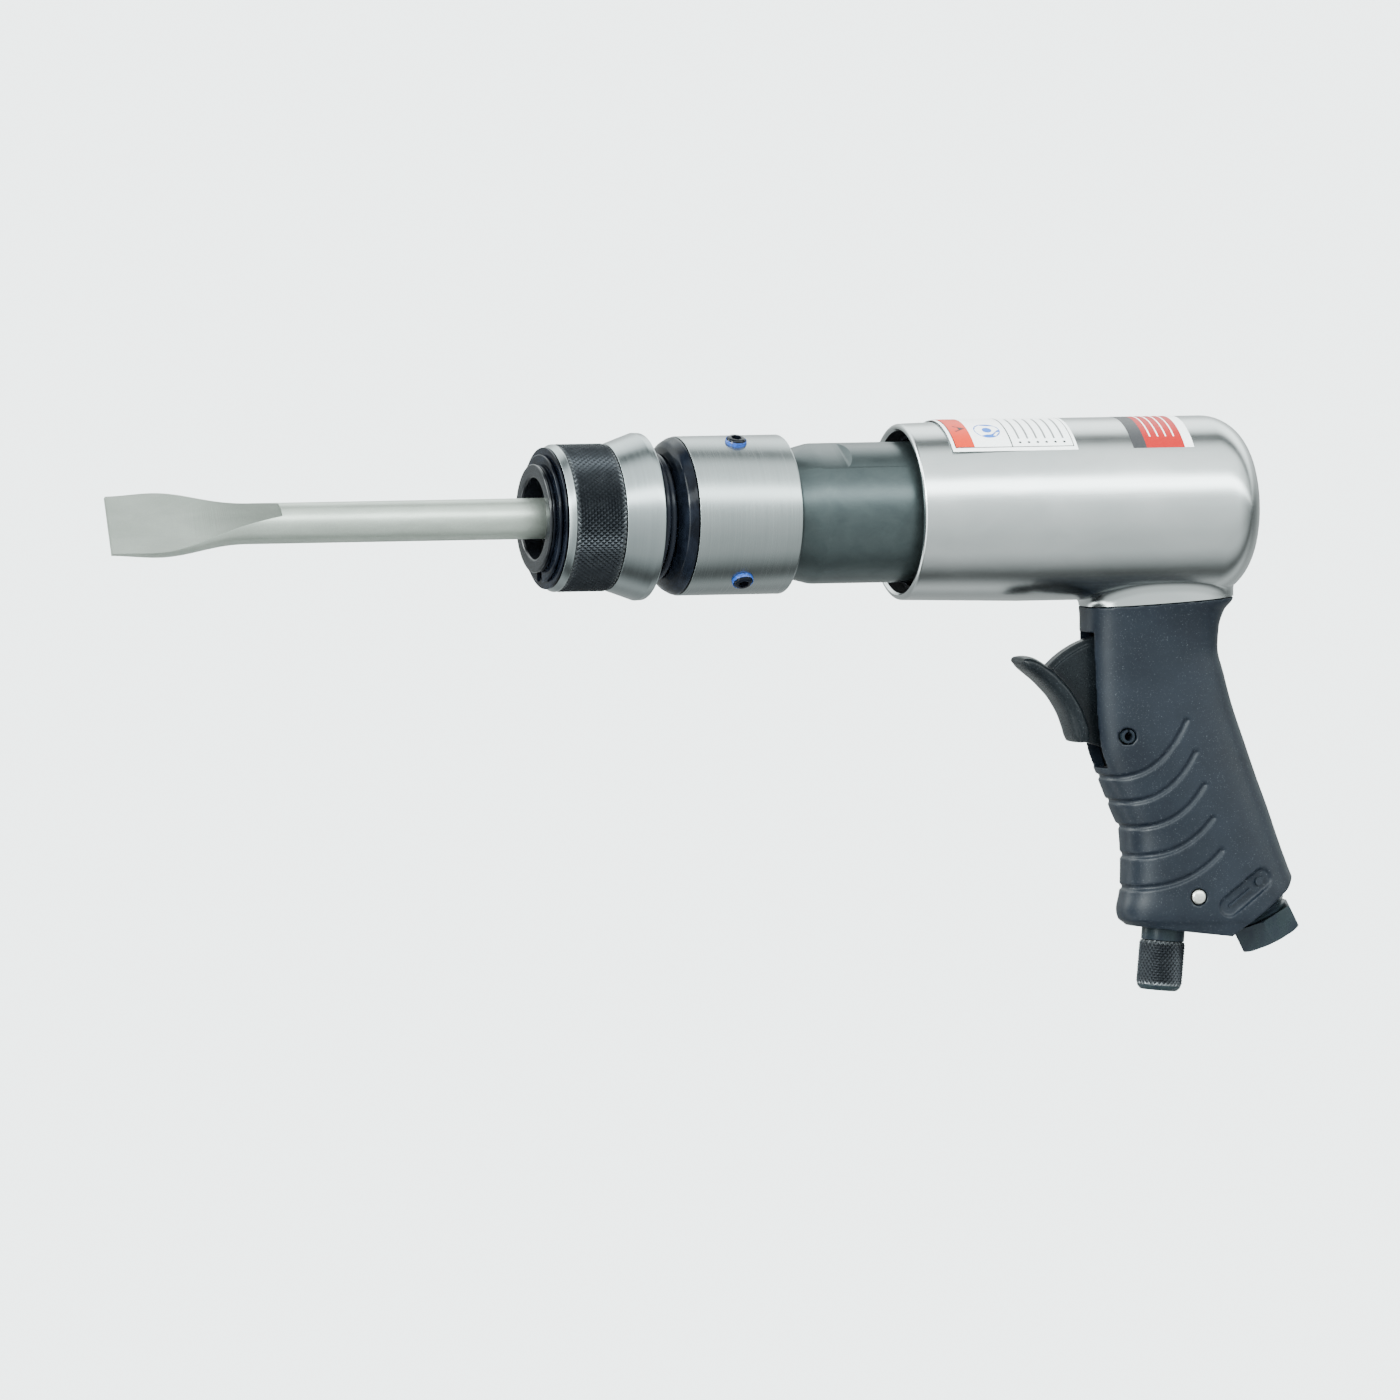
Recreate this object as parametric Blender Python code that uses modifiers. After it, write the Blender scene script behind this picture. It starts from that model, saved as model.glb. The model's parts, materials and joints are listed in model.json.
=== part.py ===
"""Pneumatic percussive hammer (rivet gun / chisel gun) with a pistol grip and a quick-change retainer.

Frame: metres, +Z up. The barrel's axis is the X axis and the nose points along -X. The origin is the
centre of the housing's flat rear face. The trigger is in the XZ plane, which is the symmetry plane of
the housing and the grip. Dimensions are written in millimetres times MM.
"""

import math

import bmesh
import bpy
import numpy as np
from mathutils import Matrix, Vector

MM = 0.001
GAP = 0.3 * MM  # clearance kept between pieces that bear on each other
BIG_SIDES = 32  # facets of the large turned pieces
SMALL_SIDES = 20  # facets of the small turned pieces

# ---- driving dimensions: barrel line, stations along X from the rear face ----
HOUSING_LENGTH = 113.5 * MM
HOUSING_RADIUS = 28.3 * MM
MOUTH_RADIUS = 27.3 * MM
MOUTH_BORE = 25.1 * MM
REAR_FILLET = 15.5 * MM
BARREL_RADIUS = 21.8 * MM
BARREL_BORE = 9.55 * MM  # 3/4 inch bore
BARREL_SHOULDER_X = -66.0 * MM  # where the barrel steps down to its thread
BARREL_FRONT_X = -152.1 * MM  # front of the exposed barrel
BARREL_NECK_RADIUS = 15.5 * MM
BARREL_NECK_END_X = -196.5 * MM
BARREL_REAR_X = -36.3 * MM
COLLAR_REAR_X = -152.4 * MM
COLLAR_FRONT_X = -186.2 * MM
COLLAR_RADIUS = 24.7 * MM
BODY_LIP_FRONT_X = -191.6 * MM
SLEEVE_REAR_X = -197.6 * MM
SLEEVE_FRONT_X = -228.2 * MM
KNURL_REAR_X = -209.6 * MM
KNURL_FRONT_X = -225.6 * MM
KNURL_RADIUS = 22.9 * MM
TUBE_RADIUS = 16.7 * MM
TUBE_FRONT_X = -231.6 * MM
NOSE_BORE = 12.4 * MM
NOSE_FRONT_X = -232.8 * MM
BALL_RADIUS = 3.2 * MM
BALL_X = -216.0 * MM
BALL_ORBIT = 13.6 * MM
BALL_ANGLES = (90, 210, 330)
CHISEL_TIP_X = -371.2 * MM
CHISEL_BODY_RADIUS = 6.35 * MM
CHISEL_SHANK_RADIUS = 5.09 * MM  # 0.401 inch shank
CHISEL_SHANK_END_X = -167.0 * MM
CHISEL_FLAT_START_X = -316.4 * MM
CHISEL_TWIST_END_X = -352.0 * MM
CHISEL_ROLL_START = math.radians(-50)
CHISEL_ROLL_TIP = math.radians(-23)
FLAT_ANGLE = math.radians(64)  # clocking of the barrel's flats, up from -Y towards +Z
SCREW_X = -169.4 * MM
SCREW_RADIUS = 3.15 * MM
SCREW_TOP = 26.4 * MM  # from the barrel line
SCREW_ANGLES = (68.5, -51.5, 188.5)

# ---- driving dimensions: handle ----
PIVOT = Vector((-41.8 * MM, 0, -70.4 * MM))  # trigger pin
TANG_RADIUS = 31.5 * MM
SLOT_HALF_WIDTH = 6.6 * MM
SLOT_TOP_Z = -38.3 * MM
SLOT_BOTTOM_Z = -80.5 * MM
SLOT_BACK_X = -32.5 * MM
THROTTLE_Z = -58.0 * MM
THROTTLE_BORE = 5.6 * MM
CROSS_PIN = Vector((-19.3 * MM, 0, -120.6 * MM))
GRIP_WALL = 3.0 * MM
KNOB_POINT = Vector((-26.0 * MM, 0, -133.0 * MM))  # on the knob's axis, level with the grip's base
KNOB_TILT = math.radians(5)  # forward, going down
INLET_POINT = Vector((6.0 * MM, 0, -127.6 * MM))  # centre of the hexagon's upper face
INLET_TILT = math.radians(27)  # rearward, going down
INLET_HEX_FLATS = 19.05 * MM
INLET_HEX_HEIGHT = 7.7 * MM
INLET_HEX_TURN = math.radians(46)
INLET_BORE = 5.8 * MM

# The grip's outline in the XZ plane: height, front edge, rear edge, half thickness (millimetres)
GRIP_OUTLINE = (
    (-20.0, -53.4, -3.2, 18.5),
    (-29.7, -52.6, -4.1, 15.6),
    (-33.0, -52.4, -7.0, 14.9),
    (-38.0, -52.4, -8.7, 14.4),
    (-44.0, -52.3, -9.1, 14.2),
    (-52.0, -52.0, -7.1, 14.2),
    (-62.0, -51.6, -4.2, 14.4),
    (-73.0, -50.4, -0.3, 14.7),
    (-84.0, -46.5, 3.6, 15.0),
    (-94.0, -42.4, 7.4, 15.2),
    (-101.5, -39.5, 10.0, 15.3),
    (-111.0, -39.1, 13.6, 15.4),
    (-119.0, -39.4, 17.0, 15.4),
    (-125.0, -40.5, 19.0, 15.3),
    (-127.8, -39.9, 20.0, 15.0),
    (-129.6, -37.6, 20.6, 14.2),
    (-137.0, -33.0, 23.0, 12.5),
)
GRIP_TOP_LEVEL = -28.9 * MM
GRIP_TOP_TILT = 0.058  # the grip's top edge rises towards the rear
GRIP_MID_X = -28.5 * MM
GRIP_SQUARENESS = 2.5  # superellipse exponent of the cross-section
# Planes that end the grip below: a point and an outward normal in XZ (point in millimetres)
GRIP_BASE = ((-7.5, -133.2), (-0.113, -0.994))
GRIP_CHAMFER = ((-7.5, -133.2), (0.599, -0.802))
GRIP_HEEL = ((11.5, -119.0), (0.778, -0.629))

# Each finger groove's start on the grip's front edge and its end on the grip's side (x, z in millimetres)
GROOVES = (
    ((-46.3, -83.6), (-22.9, -65.0)),
    ((-43.2, -91.3), (-20.1, -75.0)),
    ((-39.9, -99.2), (-17.2, -85.2)),
    ((-38.9, -108.0), (-14.4, -95.5)),
    ((-39.2, -117.9), (-11.5, -105.7)),
)
GROOVE_RADIUS = 0.75 * MM
GROOVE_BEND = 0.62  # how far along its run a groove stays level before it sweeps up

MATERIALS = {
    "polished_aluminium": ((0.80, 0.81, 0.82), 0.22, 1.0),
    "satin_steel": ((0.70, 0.71, 0.71), 0.32, 1.0),
    "dark_steel": ((0.20, 0.22, 0.23), 0.38, 1.0),
    "black_steel": ((0.035, 0.037, 0.042), 0.3, 1.0),
    "forged_steel": ((0.52, 0.53, 0.49), 0.48, 1.0),
    "black_composite": ((0.035, 0.042, 0.05), 0.5, 0.0),
    "black_rubber": ((0.02, 0.02, 0.022), 0.55, 0.0),
    "brass": ((0.72, 0.53, 0.25), 0.35, 1.0),
    "spring_steel": ((0.12, 0.12, 0.13), 0.35, 1.0),
    "bright_pin": ((0.75, 0.75, 0.73), 0.4, 1.0),
}


# ---------------------------------------------------------------- scene and materials
def clear_scene():
    for obj in list(bpy.data.objects):
        bpy.data.objects.remove(obj)


def new_collection(name):
    collection = bpy.data.collections.new(name)
    bpy.context.scene.collection.children.link(collection)
    return collection


def make_materials():
    for name, (colour, roughness, metallic) in MATERIALS.items():
        material = bpy.data.materials.new(name)
        material.use_nodes = True
        shader = material.node_tree.nodes["Principled BSDF"]
        shader.inputs["Base Color"].default_value = (*colour, 1)
        shader.inputs["Roughness"].default_value = roughness
        shader.inputs["Metallic"].default_value = metallic


def add_object(name, mesh, material=None, collection=None):
    obj = bpy.data.objects.new(name, mesh)
    (collection or PARTS).objects.link(obj)
    if material:
        mesh.materials.clear()
        mesh.materials.append(bpy.data.materials[material])
    return obj


def as_cutter(obj):
    obj.hide_render = True
    obj.display_type = "WIRE"
    return obj


def evaluated_mesh(obj):
    """The object's mesh with its modifiers, its points welded and its faces turned outwards."""
    bpy.context.view_layer.update()
    graph = bpy.context.evaluated_depsgraph_get()
    mesh = bpy.data.meshes.new_from_object(obj.evaluated_get(graph))
    edit = bmesh.new()
    edit.from_mesh(mesh)
    bmesh.ops.remove_doubles(edit, verts=edit.verts, dist=0.00001)
    bmesh.ops.recalc_face_normals(edit, faces=edit.faces)
    edit.to_mesh(mesh)
    edit.free()
    return mesh


def baked(obj, name, material=None, collection=None):
    """Replaces an object that still has modifiers by a plain mesh object."""
    mesh = evaluated_mesh(obj)
    matrix = obj.matrix_world.copy()
    bpy.data.objects.remove(obj)
    mesh.transform(matrix)
    return add_object(name, mesh, material, collection)


def boolean(target, tool, operation="DIFFERENCE"):
    modifier = target.modifiers.new(operation.lower(), "BOOLEAN")
    modifier.operation = operation
    modifier.solver = "EXACT"
    modifier.object = as_cutter(tool)
    return target


# ---------------------------------------------------------------- shape helpers
def turned(name, profile, sides=BIG_SIDES, material=None, collection=None, matrix=None):
    """A solid of revolution about X. profile is a list of (x, radius). It is a ring if it never meets
    the axis, and otherwise it starts and ends on the axis."""
    edit = bmesh.new()
    points = [edit.verts.new((x, 0, radius)) for x, radius in profile]
    for first, second in zip(points, points[1:]):
        edit.edges.new((first, second))
    if min(radius for _, radius in profile) > 0:
        edit.edges.new((points[-1], points[0]))
    mesh = bpy.data.meshes.new(name)
    edit.to_mesh(mesh)
    edit.free()
    source = add_object(name + "_profile", mesh)
    screw = source.modifiers.new("turn", "SCREW")
    screw.axis = "X"
    screw.angle = 2 * math.pi
    screw.steps = screw.render_steps = sides
    screw.use_merge_vertices = True
    screw.merge_threshold = 0.00001
    obj = baked(source, name, material, collection)
    if matrix is not None:
        obj.data.transform(matrix)
    return obj


def rod(name, radius, start, end, sides=SMALL_SIDES, material=None, collection=None):
    """A cylinder from start to end."""
    start, end = Vector(start), Vector(end)
    edit = bmesh.new()
    bmesh.ops.create_cone(
        edit, cap_ends=True, segments=sides, radius1=radius, radius2=radius, depth=(end - start).length
    )
    mesh = bpy.data.meshes.new(name)
    edit.to_mesh(mesh)
    edit.free()
    turn = (end - start).to_track_quat("Z", "Y").to_matrix().to_4x4()
    mesh.transform(Matrix.Translation((start + end) / 2) @ turn)
    return add_object(name, mesh, material, collection)


def block(name, low, high, collection=None, matrix=None):
    """A box between two corners."""
    low, high = Vector(low), Vector(high)
    edit = bmesh.new()
    bmesh.ops.create_cube(edit, size=1)
    size = Matrix.Diagonal((*(high - low), 1))
    bmesh.ops.transform(edit, matrix=Matrix.Translation((low + high) / 2) @ size, verts=edit.verts)
    if matrix is not None:
        bmesh.ops.transform(edit, matrix=matrix, verts=edit.verts)
    mesh = bpy.data.meshes.new(name)
    edit.to_mesh(mesh)
    edit.free()
    return add_object(name, mesh, None, collection)


def loft(name, rings, material=None, collection=None):
    """A closed body through rings of equally many points, capped at both ends."""
    edit = bmesh.new()
    levels = [[edit.verts.new(point) for point in ring] for ring in rings]
    for lower, upper in zip(levels, levels[1:]):
        for i in range(len(lower)):
            j = (i + 1) % len(lower)
            edit.faces.new((lower[i], lower[j], upper[j], upper[i]))
    edit.faces.new(levels[0][::-1])
    edit.faces.new(levels[-1])
    bmesh.ops.recalc_face_normals(edit, faces=edit.faces)
    mesh = bpy.data.meshes.new(name)
    edit.to_mesh(mesh)
    edit.free()
    return add_object(name, mesh, material, collection)


def coil(name, centre_line, wire_radius, material):
    """A wire along a list of points, as a POLY curve with round section and closed ends."""
    curve = bpy.data.curves.new(name, "CURVE")
    curve.dimensions = "3D"
    curve.bevel_depth = wire_radius
    curve.bevel_resolution = 1
    curve.use_fill_caps = True
    spline = curve.splines.new("POLY")
    spline.points.add(len(centre_line) - 1)
    for point, place in zip(spline.points, centre_line):
        point.co = (*place, 1)
    curve.materials.append(bpy.data.materials[material])
    obj = bpy.data.objects.new(name, curve)
    PARTS.objects.link(obj)
    return obj


def helix(start_x, end_x, radius, turns, steps_per_turn, z=0.0):
    """Points of a helix about an axis parallel to X, at height z."""
    count = int(turns * steps_per_turn)
    for i in range(count + 1):
        angle = 2 * math.pi * turns * i / count
        x = start_x + (end_x - start_x) * i / count
        yield (x, radius * math.cos(angle), z + radius * math.sin(angle))


def arc(centre, radius, start_degrees, end_degrees, steps):
    """Points (x, radius) of an arc in a turned profile, counted from +X towards the rim."""
    for i in range(steps + 1):
        angle = math.radians(start_degrees + (end_degrees - start_degrees) * i / steps)
        yield (centre[0] + radius * math.cos(angle), centre[1] + radius * math.sin(angle))


def radial(angle_degrees):
    """Unit vector across the barrel, counted up from -Y towards +Z."""
    angle = math.radians(angle_degrees)
    return Vector((0, -math.cos(angle), math.sin(angle)))


def along(point, tilt, distance, forward=False):
    """The point at a distance down an axis that leans by tilt from the vertical."""
    lean = -math.sin(tilt) if forward else math.sin(tilt)
    return point + Vector((lean, 0, -math.cos(tilt))) * distance


def axis_matrix(point, tilt, forward=False):
    """Carries the X axis to the axis down through point."""
    down = (along(point, tilt, 1, forward) - point).normalized()
    return Matrix.Translation(point) @ down.to_track_quat("X", "Y").to_matrix().to_4x4()


def mm(*points):
    return [tuple(value * MM for value in point) for point in points]


# ---------------------------------------------------------------- handle outline
def handle_ring(level, inset, sides):
    """One cross-section of the handle at a height, drawn in by inset."""
    heights, fronts, rears, halves = np.array(GRIP_OUTLINE[::-1]).T * MM
    front = np.interp(level, heights, fronts) + inset
    rear = np.interp(level, heights, rears) - inset
    half_y = np.interp(level, heights, halves) - inset
    middle, half_x = (front + rear) / 2, (rear - front) / 2
    fade = max(0.0, min(1.0, (level + 60 * MM) / (30 * MM)))
    power = 2 / GRIP_SQUARENESS
    for i in range(sides):
        angle = 2 * math.pi * i / sides
        cosine, sine = math.cos(angle), math.sin(angle)
        x = middle + half_x * math.copysign(abs(cosine) ** power, cosine)
        y = half_y * math.copysign(abs(sine) ** power, sine)
        yield (x, y, level + GRIP_TOP_TILT * fade * (x - GRIP_MID_X))


def handle_solid(name, inset, top_level, sides=28, collection=None, material=None):
    """The handle's solid drawn in by inset, ended below by the base, chamfer and heel planes."""
    levels = [top_level] + [row[0] * MM for row in GRIP_OUTLINE if row[0] * MM < top_level - 0.001 * MM]
    obj = loft(name, [list(handle_ring(level, inset, sides)) for level in levels], material, collection)
    edit = bmesh.new()
    edit.from_mesh(obj.data)
    for (x, z), (normal_x, normal_z) in (GRIP_BASE, GRIP_CHAMFER, GRIP_HEEL):
        normal = Vector((normal_x, 0, normal_z)).normalized()
        point = Vector((x * MM, 0, z * MM)) - normal * inset
        geometry = edit.verts[:] + edit.edges[:] + edit.faces[:]
        cut = bmesh.ops.bisect_plane(edit, geom=geometry, plane_co=point, plane_no=normal, clear_outer=True)
        rim = [item for item in cut["geom_cut"] if isinstance(item, bmesh.types.BMEdge)]
        bmesh.ops.edgenet_fill(edit, edges=rim)
    bmesh.ops.remove_doubles(edit, verts=edit.verts, dist=0.00002)
    bmesh.ops.recalc_face_normals(edit, faces=edit.faces)
    edit.to_mesh(obj.data)
    edit.free()
    return obj


def handle_section(level):
    """Front, rear and half thickness of the handle at a height."""
    heights, fronts, rears, halves = np.array(GRIP_OUTLINE[::-1]).T * MM
    return (np.interp(level, heights, values) for values in (fronts, rears, halves))


def groove_height(start, end, x):
    """Height of a groove at x: a parabola that leaves the front edge level."""
    run, rise = end[0] - start[0], end[1] - start[1]
    share = max(0.0, min(1.0, (x - start[0]) / run))
    bend = GROOVE_BEND
    step = share / (bend + math.sqrt(bend * bend + (1 - 2 * bend) * share))
    return start[1] + rise * step * step


def groove_path(start, end, steps=13):
    """Points along a groove, from one side of the grip around its front to the other side."""
    side = []
    for i in range(steps):
        angle = math.radians(81 * i / (steps - 1))
        x, level = start[0] * MM, start[1] * MM
        for _ in range(4):
            front, rear, half_y = handle_section(level)
            middle, half_x = (front + rear) / 2, (rear - front) / 2
            x = middle - half_x * math.cos(angle) ** (2 / GRIP_SQUARENESS)
            x = min(x, end[0] * MM)
            level = groove_height(start, end, x / MM) * MM
        across = min(1.0, abs(x - middle) / half_x)
        y = half_y * (1 - across**GRIP_SQUARENESS) ** (1 / GRIP_SQUARENESS)
        side.append(Vector((x, y, level)))
        if x >= end[0] * MM:
            break
    return [Vector((p.x, -p.y, p.z)) for p in side[:0:-1]] + side


def slot_cutter(name):
    return block(
        name,
        (-62 * MM, -SLOT_HALF_WIDTH, SLOT_BOTTOM_Z),
        (SLOT_BACK_X, SLOT_HALF_WIDTH, SLOT_TOP_Z),
        CUTTERS,
    )


def move_origin(obj, point):
    """Puts the object's origin on its joint's axis and leaves its shape where it is."""
    obj.data.transform(Matrix.Translation(-point))
    obj.location = point


def cross_hole(name, place, radius):
    half = Vector((0, 25 * MM, 0))
    return rod(name, radius, place - half, place + half, 16, None, CUTTERS)


# ---------------------------------------------------------------- housing, grip and barrel
def make_housing():
    flat_radius = HOUSING_RADIUS - REAR_FILLET
    fillet = list(arc((-REAR_FILLET, flat_radius), REAR_FILLET, 0, 90, 8))
    outside = [
        (0, 0),
        *fillet,
        *mm((-75, 28.3)),
        (-HOUSING_LENGTH + 1.2 * MM, MOUTH_RADIUS),
        (-HOUSING_LENGTH, MOUTH_RADIUS - 0.8 * MM),
        (-HOUSING_LENGTH, 0),
    ]
    housing = turned("housing", outside, 40, "polished_aluminium")
    neck = handle_solid("neck", 0, -20 * MM, 28, CUTTERS)
    below_neck = handle_solid("below_neck", -4 * MM, GRIP_TOP_LEVEL, 28, CUTTERS)
    boolean(neck, below_neck)
    neck = baked(neck, "neck_piece", None, CUTTERS)
    boolean(housing, neck, "UNION")
    core = handle_solid("core", GRIP_WALL + GAP, -22 * MM, 20, CUTTERS)
    boolean(housing, core, "UNION")
    boss_top = along(INLET_POINT, INLET_TILT, -12 * MM)
    boss_low = along(INLET_POINT, INLET_TILT, -GAP)
    inlet_low = along(INLET_POINT, INLET_TILT, 15 * MM)
    boolean(housing, rod("inlet_boss", 9.2 * MM, boss_top, boss_low, 24, None, CUTTERS), "UNION")
    bore = [
        (-HOUSING_LENGTH - 5 * MM, 0),
        (-HOUSING_LENGTH - 5 * MM, MOUTH_BORE),
        *mm((-62, 25.1), (-62, 20.1), (-36, 20.1), (-36, 18.1), (-8, 18.1), (-8, 0)),
    ]
    boolean(housing, turned("main_bore", bore, 32, None, CUTTERS))
    boolean(housing, slot_cutter("core_slot"))
    start, end = (-36 * MM, 0, THROTTLE_Z), (5 * MM, 0, THROTTLE_Z)
    throttle = rod("throttle_bore", THROTTLE_BORE, start, end, 20, None, CUTTERS)
    boolean(housing, throttle)
    knob_top = along(KNOB_POINT, KNOB_TILT, -28 * MM, True)
    knob_low = along(KNOB_POINT, KNOB_TILT, 20 * MM, True)
    boolean(housing, rod("knob_bore", 6.4 * MM, knob_top, knob_low, 20, None, CUTTERS))
    inlet_top = along(INLET_POINT, INLET_TILT, -13.4 * MM)
    boolean(housing, rod("inlet_bore", 7.5 * MM, inlet_top, inlet_low, 20, None, CUTTERS))
    supply_start = along(INLET_POINT, INLET_TILT, -12 * MM)
    supply_turn = along(KNOB_POINT, KNOB_TILT, -25 * MM, True)
    supply_end = Vector((-18 * MM, 0, THROTTLE_Z))
    boolean(housing, rod("supply_low", 1.9 * MM, supply_start, supply_turn, 12, None, CUTTERS))
    boolean(housing, rod("supply_high", 1.9 * MM, supply_turn, supply_end, 12, None, CUTTERS))
    outlet_low = Vector((-27.8 * MM, 0, THROTTLE_Z))
    outlet_top = Vector((-27.8 * MM, 0, -10 * MM))
    boolean(housing, rod("outlet_passage", 1.9 * MM, outlet_low, outlet_top, 12, None, CUTTERS))
    boolean(housing, cross_hole("trigger_pin_hole", PIVOT, 2.4 * MM))
    boolean(housing, cross_hole("cross_pin_hole", CROSS_PIN, 2.35 * MM))


def make_grip():
    grip = handle_solid("grip", 0, GRIP_TOP_LEVEL - GAP, 28, PARTS, "black_composite")
    boolean(grip, handle_solid("grip_hollow", GRIP_WALL, -24 * MM, 20, CUTTERS))
    boolean(grip, slot_cutter("grip_slot"))
    boolean(grip, cross_hole("grip_trigger_hole", PIVOT, 2.5 * MM))
    for i, (start, end) in enumerate(GROOVES):
        wire = coil(f"groove_wire_{i}", groove_path(start, end), GROOVE_RADIUS, "black_composite")
        boolean(grip, baked(wire, f"groove_{i}", None, CUTTERS))
    boolean(grip, cross_hole("grip_cross_hole", CROSS_PIN, 2.45 * MM))
    knob_top = along(KNOB_POINT, KNOB_TILT, -10 * MM, True)
    knob_low = along(KNOB_POINT, KNOB_TILT, 20 * MM, True)
    boolean(grip, rod("grip_knob_hole", 7.4 * MM, knob_top, knob_low, 20, None, CUTTERS))
    inlet_top = along(INLET_POINT, INLET_TILT, -10 * MM)
    inlet_low = along(INLET_POINT, INLET_TILT, 15 * MM)
    boolean(grip, rod("grip_inlet_hole", 9.55 * MM, inlet_top, inlet_low, 20, None, CUTTERS))


def make_barrel():
    neck_x = BARREL_FRONT_X
    shoulder = arc((neck_x + 8 * MM, BARREL_RADIUS - 3.6 * MM), 1, 90, 180, 5)
    rounded = [(neck_x + 8 * MM + (x - neck_x - 8 * MM) * 8 * MM, BARREL_RADIUS - 3.6 * MM
                + (r - BARREL_RADIUS + 3.6 * MM) * 3.6 * MM) for x, r in shoulder]
    profile = [
        (BARREL_REAR_X, BARREL_BORE),
        (BARREL_REAR_X, 19.6 * MM),
        (BARREL_SHOULDER_X, 19.6 * MM),
        (BARREL_SHOULDER_X, BARREL_RADIUS),
        *rounded,
        (neck_x, BARREL_NECK_RADIUS),
        (BARREL_NECK_END_X, BARREL_NECK_RADIUS),
        (BARREL_NECK_END_X, BARREL_BORE),
    ]
    barrel = turned("barrel", profile, BIG_SIDES, "dark_steel")
    turn = Matrix.Rotation(math.pi / 2 - FLAT_ANGLE, 4, "X")
    low, high = 20.3 * MM, 30 * MM
    for name, bottom, top in (("flat_up", low, high), ("flat_down", -high, -low)):
        boolean(
            barrel,
            block(name, (-160 * MM, -20 * MM, bottom), (-131.9 * MM, 20 * MM, top), CUTTERS, turn),
        )
    for i, x in enumerate((-84, -96)):
        for j in range(2):
            side = Vector((0, math.cos(math.pi * j), 0))
            port = rod(
                f"port_{i}{j}",
                2.2 * MM,
                Vector((x * MM, 0, 0)) + side * 6 * MM,
                Vector((x * MM, 0, 0)) + side * 30 * MM,
                10,
                None,
                CUTTERS,
            )
            boolean(barrel, port)


def make_barrel_line_fittings():
    ring = [
        (-64.0 * MM + 1.4 * MM * math.cos(a), 21.3 * MM + 1.4 * MM * math.sin(a))
        for a in np.linspace(0, 2 * math.pi, 9)[:-1]
    ]
    turned("barrel_o_ring", ring, 28, "black_rubber")
    deflector = mm((-72, 22.2), (-72, 24.7), (-108.5, 24.7), (-108.5, 23.4), (-104, 22.2))
    turned("exhaust_deflector", deflector, BIG_SIDES, "black_rubber")
    bushing = mm((-168.5, 5.45), (-168.5, 9.3), (-196, 9.3), (-196, 5.45))
    turned("chisel_bushing", bushing, 24, "brass")
    piston = mm((-38, 0), (-38, 8.3), (-39, 9.2), (-73.6, 9.2), (-74.6, 8.3), (-75, 5), (-76, 4.4), (-76, 0))
    turned("piston", piston, BIG_SIDES, "satin_steel")


def make_valve():
    rear = mm((-8.4, 3), (-8.4, 17.7), (-19.8, 17.7), (-19.8, 3))
    front = mm((-23.9, 4.5), (-23.9, 17.7), (-36.0, 17.7), (-36.0, 4.5))
    rear_block = turned("valve_block_rear", rear, 28, "dark_steel")
    front_block = turned("valve_block_front", front, 28, "dark_steel")
    dowel_start, dowel_end = Vector((-13 * MM, 0, 14.6 * MM)), Vector((-31 * MM, 0, 14.6 * MM))
    beyond = Vector((2 * MM, 0, 0))
    hole = rod("dowel_hole", 1.65 * MM, dowel_start + beyond, dowel_end - beyond, 12, None, CUTTERS)
    boolean(rear_block, hole)
    boolean(front_block, hole)
    rod("valve_dowel", 1.3 * MM, dowel_start, dowel_end, 12, "bright_pin")
    disc = mm((-20.3, 3.2), (-20.3, 11.8), (-22.1, 11.8), (-22.1, 3.2))
    turned("valve_disc", disc, 24, "satin_steel")


# ---------------------------------------------------------------- quick-change retainer
def make_retainer_body():
    bore = BARREL_NECK_RADIUS + GAP
    profile = [
        (COLLAR_REAR_X, bore),
        (COLLAR_REAR_X, 21.2 * MM),
        (COLLAR_FRONT_X - GAP, 21.2 * MM),
        (COLLAR_FRONT_X - GAP, 24.5 * MM),
        *mm((-187.3, 24.3), (-189.2, 23.3), (-190.7, 21.6)),
        (BODY_LIP_FRONT_X, 19.6 * MM),
        (BODY_LIP_FRONT_X, TUBE_RADIUS),
        (-229.3 * MM, TUBE_RADIUS),
        *mm((-229.3, 15.8), (-230.9, 15.8)),
        (-230.9 * MM, TUBE_RADIUS),
        (TUBE_FRONT_X, TUBE_RADIUS),
        *mm((-231.6, 14.3), (-226, 14.3)),
        (-226 * MM, NOSE_BORE),
        (-203.6 * MM, NOSE_BORE),
        *mm((-203.6, 6.0), (-197, 6.0)),
        (-197 * MM, bore),
    ]
    body = turned("retainer_body", profile, BIG_SIDES, "black_steel")
    for i, angle in enumerate(BALL_ANGLES):
        out = radial(angle)
        centre = Vector((BALL_X, 0, 0))
        start, end = centre + out * 9 * MM, centre + out * 19 * MM
        hole = rod(f"ball_hole_{i}", 3.45 * MM, start, end, 16, None, CUTTERS)
        boolean(body, hole)
    for i, angle in enumerate(SCREW_ANGLES):
        out = radial(angle)
        centre = Vector((SCREW_X, 0, 0))
        start, end = centre + out * 18.2 * MM, centre + out * 30 * MM
        hole = rod(f"body_screw_{i}", 3.45 * MM, start, end, 16, None, CUTTERS)
        boolean(body, hole)


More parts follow.
